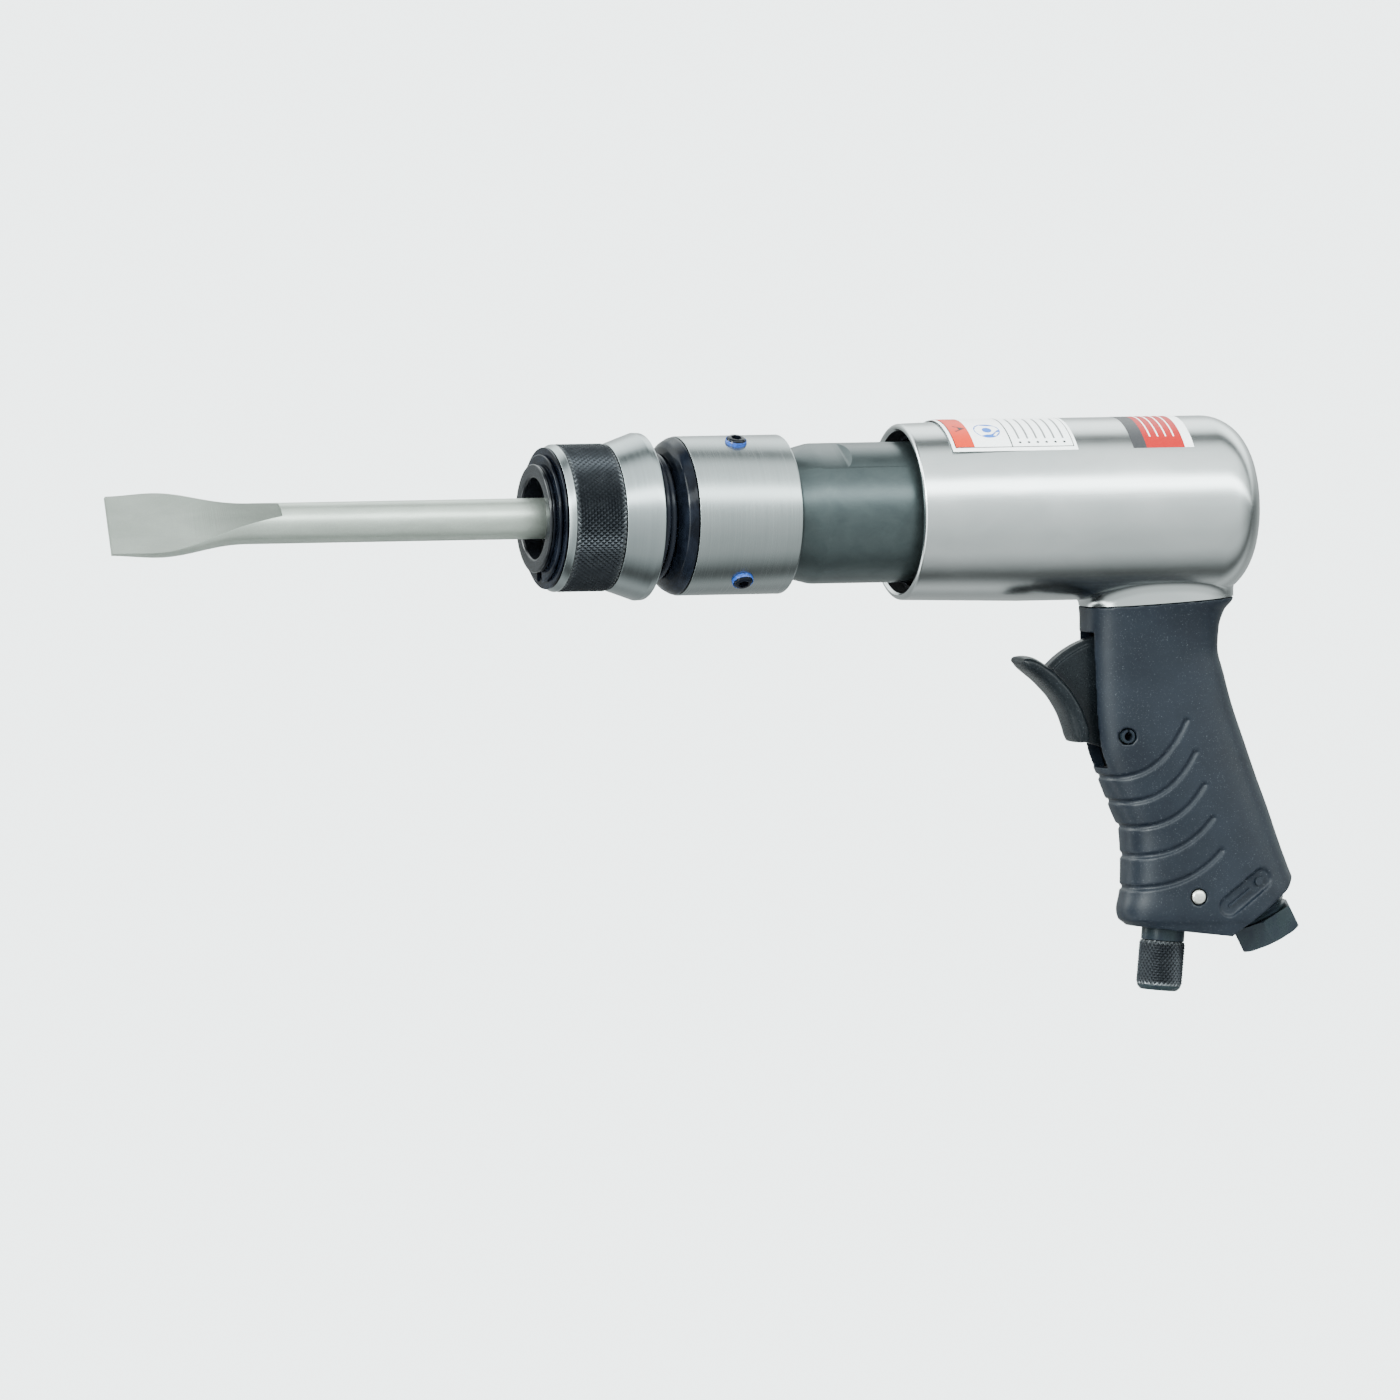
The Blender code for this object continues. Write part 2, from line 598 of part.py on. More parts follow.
def make_collar():
    edge = 0.7 * MM
    profile = [
        (COLLAR_REAR_X, 21.5 * MM),
        (COLLAR_REAR_X, COLLAR_RADIUS - edge),
        (COLLAR_REAR_X - edge, COLLAR_RADIUS),
        (COLLAR_FRONT_X + 0.3 * MM, COLLAR_RADIUS),
        (COLLAR_FRONT_X, COLLAR_RADIUS - 0.3 * MM),
        (COLLAR_FRONT_X, 21.5 * MM),
    ]
    collar = turned("retainer_collar", profile, 40, "satin_steel")
    for i, angle in enumerate(SCREW_ANGLES):
        out = radial(angle)
        centre = Vector((SCREW_X, 0, 0))
        foot = centre + out * 19 * MM
        hole = rod(f"collar_screw_{i}", 3.45 * MM, foot, centre + out * 30 * MM, 16, None, CUTTERS)
        boolean(collar, hole)
        screw = rod(f"set_screw_{i + 1}", SCREW_RADIUS, foot, centre + out * SCREW_TOP, 16, "black_steel")
        start, end = centre + out * 23.1 * MM, centre + out * 27.5 * MM
        socket = rod(f"socket_{i}", 1.75 * MM, start, end, 6, None, CUTTERS)
        boolean(screw, socket)


def make_sleeve():
    ramp = BALL_X + 0.5 * MM
    profile = [
        (SLEEVE_REAR_X, 20.6 * MM),
        (SLEEVE_REAR_X, 25.4 * MM),
        *mm((-198.2, 26.0), (-199.9, 26.0)),
        (KNURL_REAR_X + GAP, 22.7 * MM),
        (KNURL_REAR_X + GAP, 20.8 * MM),
        (KNURL_FRONT_X - GAP, 20.8 * MM),
        (KNURL_FRONT_X - GAP, KNURL_RADIUS),
        (SLEEVE_FRONT_X, 22.0 * MM),
        (SLEEVE_FRONT_X, 17.05 * MM),
        *mm((-226.2, 17.05), (-226.2, 18.7)),
        (ramp - 5 * MM, 18.7 * MM),
        (ramp, 17.05 * MM),
        *mm((-205.2, 17.05), (-205.2, 20.6)),
    ]
    turned("release_sleeve", profile, BIG_SIDES, "satin_steel")
    knurl = [
        (KNURL_REAR_X, 21.1 * MM),
        (KNURL_REAR_X, KNURL_RADIUS),
        (KNURL_FRONT_X, KNURL_RADIUS),
        (KNURL_FRONT_X, 21.1 * MM),
    ]
    turned("knurled_ring", knurl, 40, "black_steel")
    turns = list(helix(-193.0 * MM, -203.9 * MM, 18.9 * MM, 3.5, 16))
    coil("retainer_spring", turns, 1.0 * MM, "spring_steel")


def make_nose():
    washer = mm((-228.6, 16.95), (-228.6, 22.0), (-229.2, 22.0), (-229.2, 16.95))
    turned("retaining_washer", washer, 28, "black_steel")
    ring = turned(
        "snap_ring", mm((-229.5, 16.1), (-229.5, 19.8), (-230.6, 19.8), (-230.6, 16.1)), 28, "black_steel"
    )
    low, high = mm((-233, -2.2, -22), (-228, 2.2, -12))
    boolean(ring, block("snap_gap", low, high, CUTTERS))
    nose = [
        *mm((-226.3, 12.4), (-226.3, 14.0), (-231.9, 14.0), (-231.9, 16.9), (-232.3, 16.9)),
        (NOSE_FRONT_X, 16.2 * MM),
        (NOSE_FRONT_X, 12.9 * MM),
        *mm((-232.3, 12.4)),
    ]
    turned("nose_ring", nose, 28, "black_rubber")
    for i, angle in enumerate(BALL_ANGLES):
        centre = Vector((BALL_X, 0, 0)) + radial(angle) * BALL_ORBIT
        edit = bmesh.new()
        bmesh.ops.create_uvsphere(edit, u_segments=14, v_segments=8, radius=BALL_RADIUS)
        mesh = bpy.data.meshes.new(f"locking_ball_{i + 1}")
        edit.to_mesh(mesh)
        edit.free()
        ball = add_object(f"locking_ball_{i + 1}", mesh, "satin_steel")
        ball.location = centre


def make_chisel():
    """Shank, collar and round body, then a blade that widens while two planes thin it to the edge."""
    body = CHISEL_BODY_RADIUS / MM
    shank = CHISEL_SHANK_RADIUS / MM
    stations = [
        (CHISEL_SHANK_END_X / MM, shank - 0.8, shank - 0.8),
        (CHISEL_SHANK_END_X / MM - 1, shank, shank),
        (-203.8, shank, shank),
        (-204.0, 11.3, 11.3),
        (-209.0, 11.3, 11.3),
        (-210.0, body, body),
        (-318.0, body, body),
        (-326.0, body, body),
        (-333.0, body + 0.6, body),
        (-340.0, body + 1.8, body),
        (-347.0, body + 3.2, body),
        (-354.0, body + 4.0, body),
        (-358.0, body + 4.0, body),
        (-365.0, body + 3.5, body),
        (CHISEL_TIP_X / MM, body + 3.2, body),
    ]
    rings = []
    for x, half_width, half_thickness in stations:
        ring = []
        for i in range(24):
            angle = 2 * math.pi * i / 24
            ring.append((x * MM, half_thickness * MM * math.cos(angle), half_width * MM * math.sin(angle)))
        rings.append(ring)
    chisel = loft("chisel", rings, "forged_steel")
    start = Vector((CHISEL_FLAT_START_X, 5.68 * MM, 0))
    tip = Vector((CHISEL_TIP_X, 0.9 * MM, 0))
    slope = math.atan2(start.y - tip.y, start.x - tip.x)
    length = (start - tip).length / MM
    for i, side in enumerate((1, -1)):
        lay = Matrix.Translation((tip.x, tip.y * side, 0)) @ Matrix.Rotation(slope * side, 4, "Z")
        low_y, high_y = (0, 15) if side > 0 else (-15, 0)
        low, high = mm((-20, low_y, -20), (length, high_y, 20))
        boolean(chisel, block(f"blade_{i}", low, high, CUTTERS, lay))
    chisel = baked(chisel, "chisel_turned", "forged_steel")
    chisel.name = "chisel"
    twist(chisel)


def twist(chisel):
    """Turns the chisel about its axis, less and less from the start of its flats towards the edge."""
    mesh = bmesh.new()
    mesh.from_mesh(chisel.data)
    bmesh.ops.triangulate(mesh, faces=mesh.faces[:])
    for vertex in mesh.verts:
        share = (CHISEL_FLAT_START_X - vertex.co.x) / (CHISEL_FLAT_START_X - CHISEL_TWIST_END_X)
        share = min(1.0, max(0.0, share))
        share = share * share * (3 - 2 * share)
        roll = CHISEL_ROLL_START + (CHISEL_ROLL_TIP - CHISEL_ROLL_START) * share
        vertex.co = Matrix.Rotation(roll, 3, "X") @ vertex.co
    mesh.to_mesh(chisel.data)
    mesh.free()


# ---------------------------------------------------------------- trigger and throttle
def lever_ring(centre, tangent, half_width, half_thickness):
    across = Vector((tangent.z, 0, -tangent.x))
    for i in range(16):
        angle = 2 * math.pi * i / 16
        cosine, sine = math.cos(angle), math.sin(angle)
        out = half_thickness * math.copysign(abs(cosine) ** 0.77, cosine)
        side = half_width * math.copysign(abs(sine) ** 0.77, sine)
        yield tuple(centre + across * out + Vector((0, side, 0)))


def make_trigger():
    # x and z of the lever's middle, then half its width and half its thickness, from its tip down
    line = [
        (-73.9, -46.7, 6.4, 1.5),
        (-72.6, -47.0, 7.6, 2.2),
        (-70.2, -48.3, 8.2, 2.6),
        (-65.3, -51.9, 8.5, 2.8),
        (-60.3, -57.1, 8.5, 2.8),
        (-56.9, -62.6, 8.5, 2.8),
        (-54.7, -68.5, 8.5, 2.8),
        (-54.1, -72.2, 8.3, 2.7),
    ]
    centres = [Vector((x * MM, 0, z * MM)) for x, z, _, _ in line]
    rings = []
    for i, (_, _, half_width, half_thickness) in enumerate(line):
        tangent = (centres[min(i + 1, len(line) - 1)] - centres[max(i - 1, 0)]).normalized()
        rings.append(list(lever_ring(centres[i], tangent, half_width * MM, half_thickness * MM)))
    trigger = loft("trigger", rings, "black_composite")
    outline = [(PIVOT.x + 0.5 * MM, PIVOT.z - 3.6 * MM)]
    for i in range(13):
        angle = math.radians(-0.9 + 47.9 * i / 12)
        outline.append((PIVOT.x - TANG_RADIUS * math.sin(angle), PIVOT.z + TANG_RADIUS * math.cos(angle)))
    outline += mm((-60.5, -57), (-57.0, -62.6), (-54.9, -70), (-54.4, -71.6), (-46, -74.4))
    curve = bpy.data.curves.new("tang", "CURVE")
    curve.dimensions = "2D"
    curve.fill_mode = "BOTH"
    curve.extrude = 3.0 * MM
    spline = curve.splines.new("POLY")
    spline.points.add(len(outline) - 1)
    for point, (x, z) in zip(spline.points, outline):
        point.co = (x, z, 0, 1)
    spline.use_cyclic_u = True
    flat = bpy.data.objects.new("tang_outline", curve)
    CUTTERS.objects.link(flat)
    flat.matrix_world = Matrix.Rotation(math.pi / 2, 4, "X")
    tang = baked(flat, "tang", None, CUTTERS)
    boolean(trigger, tang, "UNION")
    hub_half = Vector((0, 6.0 * MM, 0))
    boolean(trigger, rod("hub", 4.4 * MM, PIVOT - hub_half, PIVOT + hub_half, 20, None, CUTTERS), "UNION")
    boolean(trigger, cross_hole("hub_hole", PIVOT, 2.45 * MM))
    move_origin(trigger, PIVOT)
    pin_half = Vector((0, 13.0 * MM, 0))
    pin = rod("trigger_pin", 2.05 * MM, PIVOT - pin_half, PIVOT + pin_half, 16, "black_steel")
    boolean(pin, cross_hole("pin_bore", PIVOT, 1.0 * MM))


def make_throttle():
    z = THROTTLE_Z
    lift = Matrix.Translation((0, 0, z))
    valve = [
        (PIVOT.x + 1.0 * MM, 0),
        (PIVOT.x + 1.2 * MM, 0.9 * MM),
        (PIVOT.x + 1.8 * MM, 1.6 * MM),
        (PIVOT.x + 3.2 * MM, 2.1 * MM),
        *mm((-23.7, 2.1), (-23.7, 4.6), (-21.6, 4.6), (-21.6, 1.9), (-18.5, 1.9), (-18.5, 0)),
    ]
    valve = turned("throttle_valve", valve, 16, "bright_pin", None, lift)
    move_origin(valve, Vector((PIVOT.x, 0, z)))
    for name, rear, front, inner in (
        ("throttle_guide", -30.1, -32.3, 2.4),
        ("throttle_seat", -24.0, -25.6, 3.2),
        ("throttle_plug", -10.7, -13.2, 0),
    ):
        ring = mm((rear, inner), (rear, 5.3), (front, 5.3), (front, inner))
        turned(name, ring, 16, "brass", None, lift)
    turns = list(helix(-20.9 * MM, -13.8 * MM, 3.4 * MM, 4, 12, z))
    coil("throttle_spring", turns, 0.45 * MM, "spring_steel")


# ---------------------------------------------------------------- regulator and air inlet
def make_regulator():
    lay = axis_matrix(KNOB_POINT, KNOB_TILT, True)
    # distance along the axis below the grip's base, then radius; the groove takes the cross pin
    pin_at = -(CROSS_PIN.z - KNOB_POINT.z) / MM
    profile = mm(
        *((-27.6, 0), (-27.6, 6.0), (-21.6, 6.0), (-21.6, 4.7), (-19.9, 4.7), (-19.9, 6.0)),
        *((pin_at - 2.7, 6.0), (pin_at - 2.7, 3.2), (pin_at + 2.7, 3.2), (pin_at + 2.7, 6.0)),
        *((-3, 6.0), (-3, 6.7), (1.2, 6.7), (1.4, 7.0), (16.0, 7.0), (17.2, 6.0), (17.2, 0)),
    )
    knob = turned("regulator_knob", profile, 24, "black_steel", None, lay)
    low, high = mm((-30, 0.8, -8), (-22.5, 8, 8))
    boolean(knob, block("shutter", low, high, CUTTERS, lay))
    ring = [
        (-20.75 * MM + 0.6 * MM * math.cos(a), 5.45 * MM + 0.6 * MM * math.sin(a))
        for a in np.linspace(0, 2 * math.pi, 7)[:-1]
    ]
    ring = turned("regulator_o_ring", ring, 20, "black_rubber", None, lay)
    move_origin(knob, KNOB_POINT)
    move_origin(ring, KNOB_POINT)
    half = Vector((0, 15.7 * MM, 0))
    rod("regulator_retaining_pin", 2.1 * MM, CROSS_PIN - half, CROSS_PIN + half, 16, "bright_pin")


def make_inlet():
    lay = axis_matrix(INLET_POINT, INLET_TILT)
    low = along(INLET_POINT, INLET_TILT, INLET_HEX_HEIGHT)
    hexagon = rod("inlet_bushing", INLET_HEX_FLATS / math.sqrt(3), INLET_POINT, low, 6, "black_steel")
    hexagon.data.transform(
        Matrix.Translation(INLET_POINT)
        @ Matrix.Rotation(INLET_HEX_TURN, 4, (low - INLET_POINT).normalized())
        @ Matrix.Translation(-INLET_POINT)
    )
    rounding = mm((-1, 0), (-1, 10.6), (0, 10.6), (0.5, 11.2), (6.5, 11.2), (8.1, 9.4), (8.1, 0))
    boolean(hexagon, turned("hex_rounding", rounding, 24, None, CUTTERS, lay), "INTERSECT")
    stem = mm((-12, 0), (-12, 7.2), (1, 7.2), (1, 0))
    boolean(hexagon, turned("inlet_stem", stem, 20, None, CUTTERS, lay), "UNION")
    mouth = along(INLET_POINT, INLET_TILT, 12 * MM)
    socket_end = along(INLET_POINT, INLET_TILT, -8 * MM)
    stem_end = along(INLET_POINT, INLET_TILT, -14 * MM)
    boolean(hexagon, rod("inlet_socket", INLET_BORE, socket_end, mouth, 20, None, CUTTERS))
    boolean(hexagon, rod("inlet_hole", 1.9 * MM, stem_end, mouth, 12, None, CUTTERS))
    turned("inlet_screen", mm((-13.0, 0), (-13.0, 6.9), (-12.4, 6.9), (-12.4, 0)), 16, "brass", None, lay)


clear_scene()
make_materials()
PARTS = new_collection("rivet_gun")
CUTTERS = new_collection("cutters")
make_housing()
make_grip()
make_barrel()
make_barrel_line_fittings()
make_valve()
make_retainer_body()
make_collar()
make_sleeve()
make_nose()
make_chisel()
make_trigger()
make_throttle()
make_regulator()
make_inlet()
for helper in CUTTERS.objects:
    as_cutter(helper)
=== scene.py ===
import json
import math
from contextlib import contextmanager

import bmesh
import bpy
import numpy as np
from mathutils import Matrix, Vector


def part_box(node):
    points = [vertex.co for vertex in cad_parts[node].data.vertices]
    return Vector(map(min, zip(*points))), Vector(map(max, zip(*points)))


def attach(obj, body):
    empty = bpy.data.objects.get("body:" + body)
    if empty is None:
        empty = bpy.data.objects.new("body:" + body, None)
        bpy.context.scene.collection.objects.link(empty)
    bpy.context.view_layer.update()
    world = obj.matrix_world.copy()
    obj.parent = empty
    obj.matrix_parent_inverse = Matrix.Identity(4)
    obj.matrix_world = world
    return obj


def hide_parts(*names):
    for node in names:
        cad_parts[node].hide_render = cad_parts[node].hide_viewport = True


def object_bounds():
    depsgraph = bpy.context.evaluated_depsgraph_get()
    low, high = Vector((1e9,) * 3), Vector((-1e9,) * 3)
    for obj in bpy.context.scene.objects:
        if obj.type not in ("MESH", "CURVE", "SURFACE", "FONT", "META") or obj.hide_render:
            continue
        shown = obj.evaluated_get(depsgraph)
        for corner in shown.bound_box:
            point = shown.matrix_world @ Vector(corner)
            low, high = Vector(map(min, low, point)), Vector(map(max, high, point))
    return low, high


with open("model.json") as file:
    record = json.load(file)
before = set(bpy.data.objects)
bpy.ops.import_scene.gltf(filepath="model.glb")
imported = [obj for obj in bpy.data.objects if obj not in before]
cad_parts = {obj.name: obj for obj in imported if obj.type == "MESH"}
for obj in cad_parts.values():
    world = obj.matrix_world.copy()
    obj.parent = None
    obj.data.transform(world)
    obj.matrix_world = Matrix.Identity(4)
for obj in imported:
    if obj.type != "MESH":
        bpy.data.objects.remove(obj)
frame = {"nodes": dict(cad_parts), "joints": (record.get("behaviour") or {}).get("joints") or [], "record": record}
cad_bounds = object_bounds()

# All shapes below are written in millimetres in the CAD's frame and scaled to metres when a mesh is made.
MM = 0.001
RECORD = frame["record"]
JOINTS = {joint["name"]: joint for joint in frame["joints"]}
MOUNTS = {mount["name"]: mount for mount in RECORD["mounts"]}


def node_box(name):
    low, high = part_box(name)
    return low / MM, high / MM


def node_centre(name):
    return sum(node_box(name), Vector()) / 2


def joint_point(name):
    return Vector(JOINTS[name]["pos_m"]) / MM


# ---- stations read from the frame ----
HOUSING_LOW, HOUSING_HIGH = node_box("housing")
MOUTH_X = HOUSING_LOW.x
HOUSING_R = HOUSING_HIGH.z
BARREL_LOW, BARREL_HIGH = node_box("barrel")
BARREL_R = BARREL_HIGH.z
COLLAR_LOW, COLLAR_HIGH = node_box("retainer_collar")
COLLAR_R = COLLAR_HIGH.z
BODY_FRONT = node_box("retainer_body")[0].x
SLEEVE_LOW, SLEEVE_HIGH = node_box("release_sleeve")
KNURL_LOW, KNURL_HIGH = node_box("knurled_ring")
KNURL_R = KNURL_HIGH.z
WASHER_LOW, WASHER_HIGH = node_box("retaining_washer")
SNAP_LOW, SNAP_HIGH = node_box("snap_ring")
NOSE_LOW, NOSE_HIGH = node_box("nose_ring")
CHISEL_LOW, CHISEL_HIGH = node_box("chisel")
PIVOT = joint_point("trigger_pivot")
KNOB_POINT = joint_point("regulator_turn")
KNOB_DOWN = Vector(JOINTS["regulator_turn"]["axis"]).normalized()
INLET_DOWN = Vector(MOUNTS["air_inlet_face"]["axis"]).normalized()
INLET_END = Vector(MOUNTS["air_inlet_face"]["pos_m"]) / MM
INLET_END.y = 0
# Height of the inlet's hexagon, and the turn of its corners in degrees
HEX_HEIGHT = 7.7
HEX_TURN = 16
INLET_POINT = INLET_END - INLET_DOWN * HEX_HEIGHT
CROSS_PIN = node_centre("regulator_retaining_pin")
THROTTLE_Z = node_centre("throttle_valve").z
SCREW_CENTRE = Vector((node_centre("set_screw_1").x, 0, 0))


# ================================================================ materials
def grey_ramp(tree, source, stops):
    """A ramp through stops, each a position and a value."""
    node = tree.nodes.new("ShaderNodeValToRGB")
    elements = node.color_ramp.elements
    while len(elements) < len(stops):
        elements.new(0.5)
    for element, (position, value) in zip(elements, stops):
        element.position = position
        element.color = (value, value, value, 1)
    tree.links.new(source, node.inputs["Fac"])
    return node.outputs["Color"]


class Nodes:
    """Short calls for building a node material."""

    def __init__(self, name):
        self.material = bpy.data.materials.new(name)
        self.material.use_nodes = True
        self.tree = self.material.node_tree
        self.shader = self.tree.nodes["Principled BSDF"]
        self.place = self.tree.nodes.new("ShaderNodeTexCoord").outputs["Object"]

    def link(self, source, target):
        self.tree.links.new(source, target)

    def scaled(self, scale):
        """Object coordinates stretched by scale, a triple in 1/mm."""
        node = self.tree.nodes.new("ShaderNodeVectorMath")
        node.operation = "MULTIPLY"
        self.link(self.place, node.inputs[0])
        node.inputs[1].default_value = [value / MM for value in scale]
        return node.outputs["Vector"]

    def noise(self, scale, detail=3.0, roughness=0.55, distortion=0.0):
        node = self.tree.nodes.new("ShaderNodeTexNoise")
        node.inputs["Scale"].default_value = 1
        node.inputs["Detail"].default_value = detail
        node.inputs["Roughness"].default_value = roughness
        node.inputs["Distortion"].default_value = distortion
        self.link(self.scaled(scale), node.inputs["Vector"])
        return node.outputs["Fac"]

    def cells(self, scale):
        node = self.tree.nodes.new("ShaderNodeTexVoronoi")
        node.inputs["Scale"].default_value = 1
        self.link(self.scaled(scale), node.inputs["Vector"])
        return node.outputs["Distance"]

    def ramp(self, source, *stops):
        return grey_ramp(self.tree, source, stops)

    def blotch(self, source, low=0.3, high=0.7):
        """0 below low, 1 above high."""
        return self.ramp(source, (low, 0.0), (high, 1.0))

    def combine(self, first, second, factor):
        node = self.tree.nodes.new("ShaderNodeMix")
        node.data_type = "RGBA"
        if isinstance(factor, float):
            node.inputs["Factor"].default_value = factor
        else:
            self.link(factor, node.inputs["Factor"])
        for socket, value in ((node.inputs["A"], first), (node.inputs["B"], second)):
            if isinstance(value, tuple):
                socket.default_value = (*value, 1)
            else:
                self.link(value, socket)
        return node.outputs["Result"]

    def pointed(self, low, high):
        """1 on outer edges, 0 elsewhere, from the geometry's pointiness."""
        node = self.tree.nodes.new("ShaderNodeNewGeometry")
        return self.blotch(node.outputs["Pointiness"], low, high)

    def bump(self, source, height_mm, strength=1.0, previous=None):
        node = self.tree.nodes.new("ShaderNodeBump")
        node.inputs["Distance"].default_value = height_mm * MM
        node.inputs["Strength"].default_value = strength
        self.link(source, node.inputs["Height"])
        if previous is not None:
            self.link(previous, node.inputs["Normal"])
        return node.outputs["Normal"]

    def finish(self, colour, roughness, normal=None, **values):
        for source, name in ((colour, "Base Color"), (roughness, "Roughness"), (normal, "Normal")):
            if isinstance(source, float):
                self.shader.inputs[name].default_value = source
            elif source is not None:
                self.link(source, self.shader.inputs[name])
        for name, value in values.items():
            self.shader.inputs[name.replace("_", " ")].default_value = value
        return self.material


def polished_aluminium():
    """Buffed aluminium: clear reflections, fine buffing lines along the barrel and faint handling haze."""
    n = Nodes("polished_aluminium")
    lines = n.noise((0.03, 3.2, 3.2), 4.0, 0.6)
    haze = n.noise((0.035, 0.06, 0.06), 3.0, 0.5, 0.4)
    colour = n.combine((0.43, 0.455, 0.455), (0.49, 0.51, 0.51), n.blotch(haze, 0.35, 0.7))
    rough = n.ramp(n.combine(lines, haze, 0.45), (0.3, 0.17), (0.7, 0.27))
    normal = n.bump(lines, 0.004, 0.35)
    normal = n.bump(haze, 0.25, 0.25, normal)
    return n.finish(colour, rough, normal, Metallic=1.0)


# Painted shade: a near-black, faintly mottled surface for the dark gap inside the housing's mouth, where the metal
# itself is aluminium
def painted_shade_bore():
    n = Nodes("painted_shade_bore")
    shade_mottle = n.noise((0.4, 0.4, 0.4), 4.0)
    colour = n.combine((0.006, 0.006, 0.007), (0.02, 0.021, 0.023), shade_mottle)
    return n.finish(colour, 0.6, n.bump(shade_mottle, 0.05, 0.5), Metallic=0.3)


def turned_metal(name, dark, light, low, high, line_scale, depth):
    """Satin turned metal: the tool's lines run around the barrel, so they vary along X only."""
    n = Nodes(name)
    lines = n.noise((line_scale, 0.02, 0.02), 5.0, 0.7)
    broad = n.noise((0.9, 0.02, 0.02), 3.0, 0.6)
    haze = n.noise((0.05, 0.12, 0.12), 3.0, 0.5)
    mixed = n.combine(lines, broad, 0.4)
    colour = n.combine(dark, light, n.blotch(n.combine(mixed, haze, 0.35)))
    rough = n.ramp(mixed, (0.25, low), (0.75, high))
    normal = n.bump(lines, depth, 0.6)
    tangent = n.tree.nodes.new("ShaderNodeTangent")
    tangent.direction_type = "RADIAL"
    tangent.axis = "X"
    n.link(tangent.outputs["Tangent"], n.shader.inputs["Tangent"])
    return n.finish(colour, rough, normal, Metallic=1.0, Anisotropic=0.45)


def barrel_steel():
    """Dark phosphated steel: mottled grey-green, with a soft sheen."""
    n = Nodes("barrel_steel")
    mottle = n.noise((0.12, 0.16, 0.16), 5.0, 0.6, 0.6)
    grain = n.noise((5.0, 5.0, 5.0), 2.0)
    colour = n.combine((0.036, 0.047, 0.049), (0.048, 0.061, 0.062), n.blotch(mottle))
    colour = n.combine(colour, (0.11, 0.125, 0.125), n.ramp(grain, (0.62, 0.0), (0.8, 0.3)))
    rough = n.ramp(n.combine(mottle, grain, 0.7), (0.3, 0.28), (0.7, 0.38))
    normal = n.bump(grain, 0.015, 0.35)
    return n.finish(colour, rough, normal, Metallic=0.8)


def black_gloss(name, base, low, high):
    """Oiled black oxide: deep black with wet highlights."""
    n = Nodes(name)
    smear = n.noise((0.25, 0.12, 0.12), 4.0, 0.6, 0.5)
    pits = n.noise((2.4, 2.4, 2.4), 2.0)
    colour = n.combine(base, (0.006, 0.008, 0.013), n.blotch(smear, 0.4, 0.75))
    rough = n.ramp(n.combine(smear, pits, 0.4), (0.3, low), (0.7, high))
    return n.finish(colour, rough, n.bump(pits, 0.01, 0.3), Metallic=0.05, Specular_IOR_Level=0.1)


def knurled_steel():
    """Black oxide with slightly worn knurl tips."""
    n = Nodes("knurled_steel")
    wear = n.noise((0.35, 0.35, 0.35), 3.0)
    tips = n.pointed(0.53, 0.62)
    shade = n.combine((0.006, 0.008, 0.011), (0.02, 0.023, 0.027), wear)
    colour = n.combine(shade, (0.30, 0.315, 0.32), n.combine((0.0, 0.0, 0.0), tips, 0.7))
    rough = n.ramp(wear, (0.3, 0.2), (0.7, 0.3))
    return n.finish(colour, rough, n.bump(wear, 0.02, 0.2), Metallic=0.75)


def blasted_zinc(name, gain, low, high):
    """Forged, blasted and zinc-phosphated steel: matte, with a fine sparkling grain."""
    n = Nodes(name)
    grain = n.noise((4.2, 4.2, 4.2), 3.0, 0.7)
    pits = n.cells((2.1, 2.1, 2.1))
    cloud = n.noise((0.05, 0.16, 0.16), 4.0, 0.6, 0.5)
    dark = tuple(value * gain for value in (0.26, 0.285, 0.255))
    light = tuple(value * gain for value in (0.33, 0.36, 0.325))
    bright = tuple(value * 1.7 for value in light)
    pit = tuple(value * 0.6 for value in dark)
    colour = n.combine(dark, light, n.blotch(cloud, 0.3, 0.72))
    colour = n.combine(colour, bright, n.ramp(grain, (0.55, 0.0), (0.8, 0.6)))
    colour = n.combine(colour, pit, n.ramp(grain, (0.28, 0.5), (0.42, 0.0)))
    rough = n.ramp(grain, (0.3, low), (0.7, high))
    normal = n.bump(n.combine(grain, pits, 0.35), 0.035, 0.6)
    return n.finish(colour, rough, normal, Metallic=0.85)


def composite(name, dark, light, low, high, grain_mm, specular):
    """Moulded glass-filled nylon: blue-black, with a fine pebble grain and pale glass specks."""
    n = Nodes(name)
    pebble = n.noise((2.3, 2.3, 2.3), 3.0, 0.6)
    cloud = n.noise((0.06, 0.06, 0.06), 3.0)
    specks = n.noise((3.6, 3.6, 3.6), 1.0)
    colour = n.combine(dark, light, n.blotch(cloud))
    colour = n.combine(colour, (0.10, 0.11, 0.12), n.ramp(specks, (0.68, 0.0), (0.76, 0.5)))
    rough = n.ramp(n.combine(pebble, cloud, 0.3), (0.3, low), (0.7, high))
    normal = n.bump(pebble, grain_mm, 0.6)
    return n.finish(colour, rough, normal, Specular_IOR_Level=specular)


def rubber():
    n = Nodes("moulded_rubber")
    dust = n.noise((0.6, 0.6, 0.6), 4.0)
    colour = n.combine((0.002, 0.0022, 0.003), (0.007, 0.008, 0.01), dust)
    rough = n.ramp(dust, (0.3, 0.12), (0.7, 0.22))
    return n.finish(colour, rough, n.bump(dust, 0.02, 0.4), Specular_IOR_Level=0.3)


def plain_metal(name, dark, light, low, high):
    n = Nodes(name)
    marks = n.noise((1.3, 1.3, 1.3), 4.0, 0.6)
    colour = n.combine(dark, light, n.blotch(marks))
    rough = n.ramp(marks, (0.3, low), (0.7, high))
    return n.finish(colour, rough, n.bump(marks, 0.015, 0.4), Metallic=1.0)


